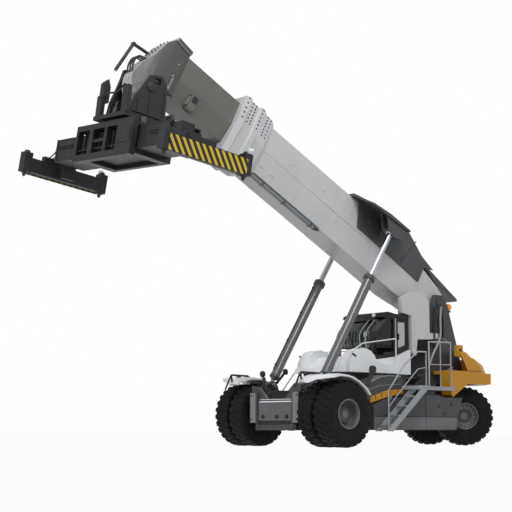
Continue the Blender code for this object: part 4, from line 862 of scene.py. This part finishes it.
# Lift cylinders
def cylinder_details():
    direction = (CYL_EYE - CYL_FOOT).normalized()
    for side, word in SIDES:
        foot = CYL_FOOT + SHIFT + Vector((0, side * CYL_Y, 0))
        gland = Mould()
        gland.turned(foot, direction, [(BARREL_LEN - 0.13, BARREL_R + 0.002),
                                       (BARREL_LEN - 0.12, BARREL_R + 0.036),
                                       (BARREL_LEN - 0.02, BARREL_R + 0.036),
                                       (BARREL_LEN + 0.004, BARREL_R + 0.02),
                                       (BARREL_LEN + 0.006, BARREL_R * 0.6 + 0.008)], 40)
        gland.turned(foot, direction, [(0.26, BARREL_R - 0.01), (0.275, BARREL_R + 0.012),
                                       (0.33, BARREL_R + 0.012), (0.345, BARREL_R - 0.004)], 40)
        across = Vector((0, side, 0))
        other = direction.cross(across).normalized()
        for point in around(foot + direction * (BARREL_LEN + 0.005), across, other, BARREL_R + 0.002, 12):
            gland.bolt(point, direction, 0.010, 0.010)
        gland.cast(f"lift_gland_{word}", "dark_grey", f"barrel_{word}", angle=34)
        feed = Mould()
        lift = other * (BARREL_R + 0.022)
        feed.tube([foot + direction * 0.45 + lift, foot + direction * 1.7 + lift,
                   foot + direction * 3.1 + lift, foot + direction * 3.28 + lift * 0.9], 0.015, 10, 3)
        for dist in (0.6, 1.4, 2.3, 3.15):
            feed.turned(foot + direction * (dist - 0.02) + lift, direction, [(0, 0.028), (0.04, 0.028)], 10)
        feed.cast(f"lift_feed_pipe_{word}", "charcoal", f"barrel_{word}")


# Chassis front, fenders, sides
def front_details():
    plate = Mould()
    for k in range(17):
        y = -0.60 + 0.075 * k
        plate.box(at(FRONT_X + 0.004, y, 0.91), (0.010, 0.022, 0.42))
    plate.cast("front_plate_ribs", "rim", "chassis", bevel=0.002)
    face = Mould()
    face.box(at(FRONT_X + 0.001, 0, 0.90), (0.004, 1.30, 0.47))
    face.cast("front_plate_face", "rim", "chassis")
    edge = Mould()
    edge.bar([at(FRONT_X + 0.012, -0.60, 1.125), at(FRONT_X + 0.012, 0.64, 1.125),
              at(FRONT_X - 0.02, 0.64, 1.205), at(FRONT_X - 0.02, -0.60, 1.205)], (-0.03, 0, 0))
    edge.cast("front_plate_edge", "white", "chassis", bevel=0.004)
    fittings = Mould()
    for y in (-0.45, 0.08, 0.44):
        fittings.turned(at(FRONT_X, y, 0.76), (1, 0, 0),
                        [(0, 0.05), (0.03, 0.05), (0.034, 0.035), (0.055, 0.03)], 20)
    for side in (1, -1):
        for z in (0.70, 1.30):
            fittings.bolt(at(CHEEK_X + 0.012, side * 0.86, z), (1, 0, 0), 0.016, 0.014)
    fittings.cast("front_plate_fittings", "charcoal", "chassis")
    lips = Mould()
    for side in (1, -1):
        lips.box(at(CHEEK_X + 0.006, side * 0.805, 0.99), (0.012, 0.20, 0.76))
    lips.cast("front_cheek_plates", "light_rim", "chassis", bevel=0.006)
    # Painted shade: a black strip fills the shaded gap below the front plate.
    gap = Mould()
    gap.box(at(FRONT_X - 0.02, 0, 0.612), (0.02, 1.30, 0.085))
    gap.cast("front_gap_shade", "black", "chassis")
    hoses = Mould()
    for side in (1, -1):
        hoses.tube([at(0.22, side * 0.62, 1.30), at(0.26, side * 0.70, 1.52), at(0.05, side * 0.74, 1.60),
                    at(-0.20, side * 0.72, 1.44)], 0.02, 10, 8)
        hoses.tube([at(0.12, side * 0.60, 1.30), at(0.16, side * 0.68, 1.44), at(0.0, side * 0.72, 1.50),
                    at(-0.26, side * 0.70, 1.40)], 0.02, 10, 8)
    hoses.cast("front_hoses", "hose", "chassis")
    pins = Mould()
    for side in (1, -1):
        for step, y in ((-1, CYL_Y - 0.1608), (1, CYL_Y + 0.095)):
            centre = at(CYL_FOOT.x, side * y, CYL_FOOT.z)
            pins.turned(centre, (0, side * step, 0), [(0, 0.075), (0.016, 0.075), (0.022, 0.068)], 24)
    pins.cast("lift_foot_pin_caps", "steel", "chassis")


STALKS = {
    # path of the rod, its radius, radius of the ball at its end
    1: [([(-0.62, 2.08, 1.47), (-0.70, 2.08, 1.60), (-0.846, 2.09, 1.93)], 0.052, 0.092)],
    -1: [([(-0.10, -1.20, 1.76), (-0.084, -1.20, 1.89)], 0.027, 0.074),
         ([(-0.40, -1.16, 1.642), (-0.56, -1.16, 1.67), (-0.863, -1.16, 1.97)], 0.037, 0.072)],
}


def fender_details():
    for side, word in SIDES:
        black = Mould()
        for path, thick, ball in STALKS[side]:
            black.tube([at(*p) for p in path], thick, 12, 1)
            top = at(*path[-1]) - Vector((0, 0, ball * 1.08))
            black.turned(top, (0, 0, 1), [(0, ball * 0.5), (ball * 0.2, ball * 0.8), (ball * 0.6, ball),
                                          (ball * 1.5, ball), (ball * 2.0, ball * 0.75),
                                          (ball * 2.2, ball * 0.3)], 20)
        rail = [at(0.868, side * 1.32, 1.66), at(0.90, side * 1.32, 1.84), at(0.33, side * 1.32, 1.83),
                at(0.33, side * 1.32, 1.80)]
        for start, end in zip(rail, rail[1:]):
            black.rod(start, end, 0.026, 12)
        black.rod(at(1.10, side * 1.32, 1.46), at(0.90, side * 1.32, 1.84), 0.022, 12)
        for x in (0.40, 0.10):
            black.turned(at(x, side * 1.62, 1.76), (0, 0, 1), [(0, 0.074), (0.082, 0.074), (0.09, 0.066)], 24)
        black.cast(f"fender_{word}_stalks", "black", "chassis", angle=50)
        glass = Mould()
        for x in (0.40, 0.10):
            glass.turned(at(x + 0.066, side * 1.62, 1.80), (1, 0, 0),
                         [(0, 0.030), (0.014, 0.028), (0.02, 0.020)], 24)
        glass.cast(f"fender_{word}_lamp_glass", "clear", "chassis")
        trim = Mould()
        for x, z in ((-0.06, 1.752), (0.20, 1.781), (0.32, 1.789)):
            trim.bolt(at(x, side * 1.95, z), (0, 0, 1), 0.014, 0.010)
        trim.cast(f"fender_{word}_bolts", "steel", "chassis")


def side_details():
    for side, word in SIDES:
        face = side * (TANK_Y + 0.002)
        seams = Mould()
        seams.box(at(-3.0, face, 0.78), (3.20, 0.008, 0.014))
        for x in (-2.35, -3.35):
            seams.box(at(x, face, 0.90), (0.012, 0.008, 0.90))
        seams.cast(f"tank_{word}_seams", "black", "chassis")
        band = Mould()
        band.box(at(-2.98, side * (TANK_Y + 0.001), 0.61), (3.22, 0.006, 0.32))
        band.cast(f"tank_{word}_lower_band", "rim", "chassis", bevel=0.002)
        holes = Mould()
        for x, z in ((-3.86, 1.06), (-4.39, 1.11), (-4.10, 0.86)):
            holes.turned(at(x, side * TANK_Y, z), (0, side, 0), [(0, 0.045), (0.006, 0.045), (0.010, 0.036)],
                         24)
        holes.cast(f"tank_{word}_sockets", "black", "chassis")
        filler = Mould()
        filler.turned(at(-2.20, side * 1.40, 1.285), (0.1, 0, 1),
                      [(-0.05, 0.07), (0.05, 0.07), (0.06, 0.06), (0.075, 0.055)], 24)
        filler.cast(f"tank_{word}_filler", "steel", "chassis")
        arcs = Mould()
        arcs.tube([at(x, side * (BOX_Y + 0.004), z) for x, z in
                   ((-1.24, 1.45), (-1.45, 1.66), (-1.97, 1.815), (-2.57, 1.82))], 0.010, 8, 8)
        arcs.tube([at(x, side * (BOX_Y + 0.004), z) for x, z in ((-1.36, 1.44), (-1.75, 1.56),
                                                                 (-2.57, 1.62))], 0.007, 8, 8)
        arcs.cast(f"box_{word}_edges", "light_grey", "chassis", angle=60)
        marks = Mould()
        for x, z in ((-1.55, 1.27), (-1.78, 1.335), (-2.10, 1.39), (-2.40, 1.42)):
            marks.box(at(x, side * (BOX_Y + 0.0615), z), (0.018, 0.006, 0.11))
        marks.cast(f"strip_{word}_latches", "black", "chassis")
        treads = Mould()
        for k in range(4):
            x = -1.66 - 0.30 * k
            z = 0.56 + 0.25 * k
            for i in range(3):
                for j in range(7):
                    treads.turned(at(x - 0.09 + 0.08 * i, side * (1.70 + 0.05 * j), z), (0, 0, 1),
                                  [(0, 0.014), (0.006, 0.011)], 8)
        for i in range(14):
            for j in range(5):
                treads.turned(at(-3.28 - 0.08 * i, side * (1.16 + 0.12 * j), DECK_Z), (0, 0, 1),
                              [(0, 0.016), (0.006, 0.012)], 8)
        treads.cast(f"stair_{word}_grips", "galvanised", "chassis")


def tower_details():
    caps = Mould()
    for side in (1, -1):
        caps.turned(at(PIVOT.x, side * 0.6505, PIVOT.z), (0, side, 0),
                    [(0, 0.15), (0.02, 0.15), (0.028, 0.138)], 40)
        for point in around(at(PIVOT.x, side * 0.676, PIVOT.z), AHEAD, UP, 0.115, 6, 0.5):
            caps.bolt(point, (0, side, 0), 0.013, 0.011)
    caps.cast("pivot_pin_caps", "grey", "chassis", bevel=0.003)
    hoses = Mould()
    for k in range(3):
        y = 0.72 + 0.035 * k
        hoses.tube([at(-4.70, y, 2.70), at(-4.72, y, 3.30), at(-4.86 - 0.05 * k, y, 3.78 + 0.05 * k),
                    at(-5.02, y, 3.74), at(-5.10, y - 0.03, 3.40), at(-5.12, y - 0.05, 3.0)], 0.028, 10, 8)
    hoses.cast("tower_hoses", "hose", "chassis")
    tube = Mould()
    tube.tube([at(-4.98, 0.80, 3.86), at(-4.92, 0.82, 3.50), at(-4.90, 0.82, 3.0), at(-4.62, 0.80, 2.52),
               at(-4.50, 0.76, 2.20)], 0.03, 10, 8)
    tube.cast("tower_cable_duct", "light_grey", "chassis", angle=60)
    plates = Mould()
    plates.tube([at(-5.0, 0.656, 3.00), at(-5.35, 0.656, 2.92), at(-5.66, 0.656, 2.66)], 0.014, 8, 8)
    plates.bar([at(-5.0, 0.651, 1.97), at(-5.62, 0.651, 1.97), at(-5.62, 0.651, 2.22)], (0, 0.008, 0))
    plates.cast("tower_edge_trim", "light_grey", "chassis", angle=60)
    lamp = Mould()
    lamp.tube([at(-5.58, -0.62, 3.10), at(-5.72, -0.62, 3.16)], 0.016, 8, 1)
    lamp.box(at(-5.76, -0.62, 3.20), (0.09, 0.14, 0.10))
    lamp.cast("tower_rear_lamp", "black", "chassis", bevel=0.006)
    glow = Mould()
    for side in (1, -1):
        glow.turned(at(-5.55, side * 0.59, 3.8303), (0, 0, 1),
                    [(0.0, 0.077), (0.02, 0.079), (0.11, 0.078), (0.14, 0.066), (0.156, 0.04)], 32)
    glow.cast("beacon_domes", "amber", "chassis", angle=50)


def weight_details():
    lamps = Mould()
    for side in (1, -1):
        lamps.box(at(-6.90, side * 0.40, 1.86), (0.08, 0.20, 0.10))
        lamps.box(at(-6.66, side * 1.0, 1.86), (0.05, 0.08, 0.10))
    lamps.cast("tail_lamps", "red", "chassis", bevel=0.006)
    # Painted shade: black cylinders fill the lifting holes, standing for the shade inside them.
    eyes = Mould()
    for side in (1, -1):
        eyes.turned(at(-5.11, side * 1.23, 2.62), (0, side, 0), [(-0.001, 0.045), (0.145, 0.045)], 20)
    eyes.cast("weight_lifting_hole_shade", "black", "chassis")
    line = Mould()
    for side in (1, -1):
        line.tube([at(-5.90, side * 1.452, 2.055), at(-5.20, side * 1.452, 2.055),
                   at(-4.74, side * 1.452, 2.055)], 0.006, 6, 1)
    line.cast("weight_seams", "black", "chassis")


# Cab
def cushion(mould, centre, size, tilt, rounding=0.55, steps=20):
    """A crowned pad: a rounded box whose faces swell and whose edges pull in."""
    turn = Matrix.Rotation(tilt, 3, "Y")
    rings = []

    def power(value):
        return math.copysign(abs(value) ** rounding, value)

    for i in range(1, steps):
        v = math.pi * i / steps - math.pi / 2
        ring = []
        for k in range(2 * steps):
            u = math.pi * k / steps
            point = Vector((power(math.cos(v)) * power(math.cos(u)) * size[0] / 2,
                            power(math.cos(v)) * power(math.sin(u)) * size[1] / 2,
                            power(math.sin(v)) * size[2] / 2))
            ring.append(Vector(centre) + turn @ point)
        rings.append(ring)
    mould.rings(rings)


def seat_pieces():
    pads = (
        ("seat_cushion", (-2.98, 0, 2.42), (0.50, 0.50, 0.14), -0.06),
        ("seat_back", (-3.19, 0, 2.76), (0.14, 0.48, 0.62), -0.18),
        ("seat_headrest", (-3.255, 0, 3.13), (0.09, 0.27, 0.17), -0.12),
    )
    for name, centre, size, tilt in pads:
        mould = Mould()
        cushion(mould, at(*centre), size, tilt, 0.45)
        piece = mould.cast(name, "fabric", "chassis", angle=80)
        if name == "seat_cushion":
            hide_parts("seat")
    base = Mould()
    base.box(at(-3.0, 0, 2.20), (0.32, 0.32, 0.30))
    for k in range(4):
        base.box(at(-3.0, 0, 2.10 + 0.06 * k), (0.35, 0.35, 0.02))
    base.box(at(-3.0, 0, 2.355), (0.44, 0.46, 0.03))
    for side in (1, -1):
        base.box(at(-3.13, side * 0.28, 2.52), (0.05, 0.05, 0.26))
        base.box(at(-2.98, side * 0.29, 2.63), (0.36, 0.08, 0.06))
        base.rod(at(-2.84, side * 0.29, 2.65), at(-2.82, side * 0.29, 2.76), 0.014, 10)
    base.cast("seat_base", "black", "chassis", bevel=0.006)
    knobs = Mould()
    for y, z in ((0.29, 2.78), (-0.29, 2.78)):
        knobs.turned(at(-2.82, y, z - 0.03), (0, 0, 1),
                     [(0, 0.018), (0.02, 0.032), (0.05, 0.032), (0.07, 0.018)], 16)
    knobs.cast("control_knobs", "hazard_knob", "chassis", angle=60)


def cab_details():
    trim = Mould()
    trim.box(at(-3.15, 0, 3.52), (1.00, 1.44, 0.02))
    for side in (1, -1):
        trim.tube([at(-2.62, side * 0.70, 3.50), at(-2.86, side * 0.715, 3.585),
                   at(-3.2, side * 0.716, 3.545), at(-3.68, side * 0.716, 3.51)], 0.012, 8, 6)
    trim.cast("cab_roof_trim", "black", "chassis", bevel=0.003)
    bars = Mould()
    for y, x in ((0.545, -2.30), (0.40, -2.225), (-0.40, -2.225), (-0.545, -2.30)):
        bars.tube([at(x, y, 2.36), at(x + 0.09, y, 2.74), at(x + 0.07, y, 3.02), at(x - 0.26, y, 3.36)],
                  0.012, 8, 4)
    bars.cast("windscreen_bars", "light_grey", "chassis", angle=60)
    pillar = Mould()
    for side in (1, -1):
        pillar.box(at(-3.205, side * (CAB_HALF + 0.003), 2.98), (0.055, 0.008, 0.94))
    pillar.cast("cab_pillar_strips", "light_grey", "chassis", bevel=0.002)
    wiper = Mould()
    wiper.tube([at(-2.13, 0.05, 2.60), at(-2.085, 0.16, 2.86), at(-2.10, 0.26, 3.06)], 0.010, 8, 4)
    wiper.tube([at(-2.10, 0.10, 2.80), at(-2.095, 0.22, 3.10)], 0.008, 6, 1)
    wiper.cast("wiper", "black", "chassis")
    pane = Mould()
    outline = [(-3.305, 2.63), (-3.575, 2.725), (-3.575, 3.335), (-3.305, 3.335)]
    pane.bar([at(x, CAB_HALF - 0.0115, z) for x, z in outline], (0, 0.006, 0))
    pane.cast("door_pane", "pale_pane", "cab_door", bevel=0.002)
    seals = Mould()
    for x0, z0, x1, z1 in ((-2.44, 2.40, -3.13, 2.475), (-3.13, 2.475, -3.13, 3.40),
                           (-3.13, 3.40, -2.99, 3.40), (-2.99, 3.40, -2.44, 2.88),
                           (-2.44, 2.88, -2.44, 2.40)):
        for side in (1, -1):
            seals.rod(at(x0, side * 0.690, z0), at(x1, side * 0.690, z1), 0.014, 8)
    seals.cast("side_window_seals", "black", "chassis")
    lamps = Mould()
    for side in (1, -1):
        lamps.turned(at(-2.66, side * 0.45, 3.50), (1, 0, -0.1), [(0, 0.05), (0.05, 0.06), (0.06, 0.05)], 20)
    lamps.cast("cab_work_lamps", "clear", "chassis")
    # Painted shade: black strips stand for the slots in the cab base, dark with the shade inside them.
    vents = Mould()
    for side in (1, -1):
        vents.box(at(-1.30, side * 1.002, 2.36), (0.16, 0.008, 0.05),
                  Matrix.Rotation(math.radians(-28), 3, "Y"))
        vents.box(at(-2.4, side * 0.802, 2.12), (0.9, 0.006, 0.012))
    vents.cast("cab_base_slot_shade", "black", "chassis")


def engine_details():
    block = Mould()
    for k in range(6):
        block.box(at(-3.70 - 0.12 * k, 0, 1.515), (0.08, 0.60, 0.03))
        block.box(at(-3.70 - 0.12 * k, 0.425, 1.10), (0.07, 0.02, 0.50))
        block.box(at(-3.70 - 0.12 * k, -0.425, 1.10), (0.07, 0.02, 0.50))
    block.cast("engine_ribs", "dark_grey", "chassis", bevel=0.004)


def axle_details():
    rods = Mould()
    for side in (1, -1):
        rods.bolt(at(-6.02, side * 0.52, TYRE_R + 0.330), (0, 0, 1), 0.05, 0.02)
        for dx in (-0.08, 0.08):
            for dy in (-0.05, 0.05):
                rods.bolt(at(-6.02 + dx, side * 0.52 + dy, TYRE_R + 0.330), (0, 0, 1), 0.012, 0.012)
    rods.cast("rear_axle_bolts", "steel", "chassis")


# Stage: floor, backdrop light and camera
CAMERA_AT = Vector((22.159, 24.094, 0.502))
FOCAL_PX = 1266.6
IMAGE_PX = 512.0
CENTRE_PX = (256.8, 255.9)
YAW = math.radians(48.95)
PITCH = math.radians(7.69)
ROLL = math.radians(0.17)
SENSOR_MM = 36.0
FLOOR_REACH = 60.0
FLOOR_DROP = 0.0005
FLOOR_SHARE = 0.96
FLOOR_GREY = 0.42
LAMP_AIM = Vector((-1.0, 0.0, 4.0))


def camera():
    view = Vector((-math.cos(YAW) * math.cos(PITCH), -math.sin(YAW) * math.cos(PITCH), math.sin(PITCH)))
    right = Vector((-math.sin(YAW), math.cos(YAW), 0.0))
    up = right.cross(view)
    data = bpy.data.cameras.new("camera")
    data.sensor_width = SENSOR_MM
    data.lens = FOCAL_PX * SENSOR_MM / IMAGE_PX
    data.shift_x = (IMAGE_PX / 2 - CENTRE_PX[0]) / IMAGE_PX
    data.shift_y = (CENTRE_PX[1] - IMAGE_PX / 2) / IMAGE_PX
    data.clip_end = 300.0
    obj = bpy.data.objects.new("camera", data)
    turn = Matrix((right, up, -view)).transposed()
    obj.matrix_world = (Matrix.Translation(CAMERA_AT + SHIFT)
                        @ (Matrix.Rotation(-ROLL, 3, view) @ turn).to_4x4())
    bpy.context.scene.collection.objects.link(obj)
    bpy.context.scene.camera = obj


def seen_white(tree, surface, share):
    """Mixes plain white into a surface where the camera, a gloss or a glass ray sees it."""
    rays = tree.nodes.new("ShaderNodeLightPath")
    either = tree.nodes.new("ShaderNodeMath")
    either.operation = "MAXIMUM"
    third = tree.nodes.new("ShaderNodeMath")
    third.operation = "MAXIMUM"
    scale = tree.nodes.new("ShaderNodeMath")
    scale.operation = "MULTIPLY"
    scale.inputs[1].default_value = share
    glow = tree.nodes.new("ShaderNodeEmission")
    mix = tree.nodes.new("ShaderNodeMixShader")
    link = tree.links.new
    link(rays.outputs["Is Camera Ray"], either.inputs[0])
    link(rays.outputs["Is Glossy Ray"], either.inputs[1])
    link(either.outputs[0], third.inputs[0])
    link(rays.outputs["Is Transmission Ray"], third.inputs[1])
    link(third.outputs[0], scale.inputs[0])
    link(scale.outputs[0], mix.inputs[0])
    link(surface, mix.inputs[1])
    link(glow.outputs[0], mix.inputs[2])
    return mix.outputs[0]


def stage():
    scene = bpy.context.scene
    mesh = bpy.data.meshes.new("floor")
    corners = [(a * FLOOR_REACH, b * FLOOR_REACH, 0) for a, b in ((-1, -1), (1, -1), (1, 1), (-1, 1))]
    mesh.from_pydata(corners, [], [(0, 1, 2, 3)])
    floor = bpy.data.objects.new("floor", mesh)
    floor.location.z = -FLOOR_DROP
    scene.collection.objects.link(floor)
    material = bpy.data.materials.new("floor_white")
    material.use_nodes = True
    shader = material.node_tree.nodes["Principled BSDF"]
    shader.inputs["Base Color"].default_value = (FLOOR_GREY, FLOOR_GREY, FLOOR_GREY, 1.0)
    shader.inputs["Roughness"].default_value = 0.9
    output = material.node_tree.nodes["Material Output"]
    material.node_tree.links.new(seen_white(material.node_tree, shader.outputs[0], FLOOR_SHARE),
                                 output.inputs["Surface"])
    mesh.materials.append(material)
    world = bpy.data.worlds.new("studio")
    scene.world = world
    world.use_nodes = True
    background = world.node_tree.nodes["Background"]
    background.inputs["Color"].default_value = (0.93, 0.96, 1.0, 1.0)
    background.inputs["Strength"].default_value = 0.55
    output = world.node_tree.nodes["World Output"]
    white = world.node_tree.nodes.new("ShaderNodeBackground")
    white.inputs["Color"].default_value = (1.0, 1.0, 1.0, 1.0)
    mix = world.node_tree.nodes.new("ShaderNodeMixShader")
    rays = world.node_tree.nodes.new("ShaderNodeLightPath")
    link = world.node_tree.links.new
    link(rays.outputs["Is Camera Ray"], mix.inputs[0])
    link(background.outputs[0], mix.inputs[1])
    link(white.outputs[0], mix.inputs[2])
    link(mix.outputs[0], output.inputs["Surface"])
    lamps = (
        # name, place, size, power
        ("key", (5.0, 14.0, 21.0), 9.0, 2200.0),
        ("rim_light", (-18.0, -4.0, 16.0), 8.0, 1300.0),
        ("front_fill", (21.0, 2.0, 9.0), 9.0, 1150.0),
    )
    for name, place, size, power in lamps:
        data = bpy.data.lights.new(name, "AREA")
        data.size = size
        data.energy = power
        obj = bpy.data.objects.new(name, data)
        obj.location = Vector(place)
        obj.rotation_euler = (LAMP_AIM - obj.location).to_track_quat("-Z", "Y").to_euler()
        scene.collection.objects.link(obj)
    scene.view_settings.view_transform = "Standard"


camera()
stage()
dress_nodes()
wheels()
boom_details()
inner_boom_details()
yoke_details()
rotator_details()
trunk_details()
arm_details()
cylinder_details()
front_details()
fender_details()
side_details()
tower_details()
weight_details()
seat_pieces()
cab_details()
engine_details()
axle_details()
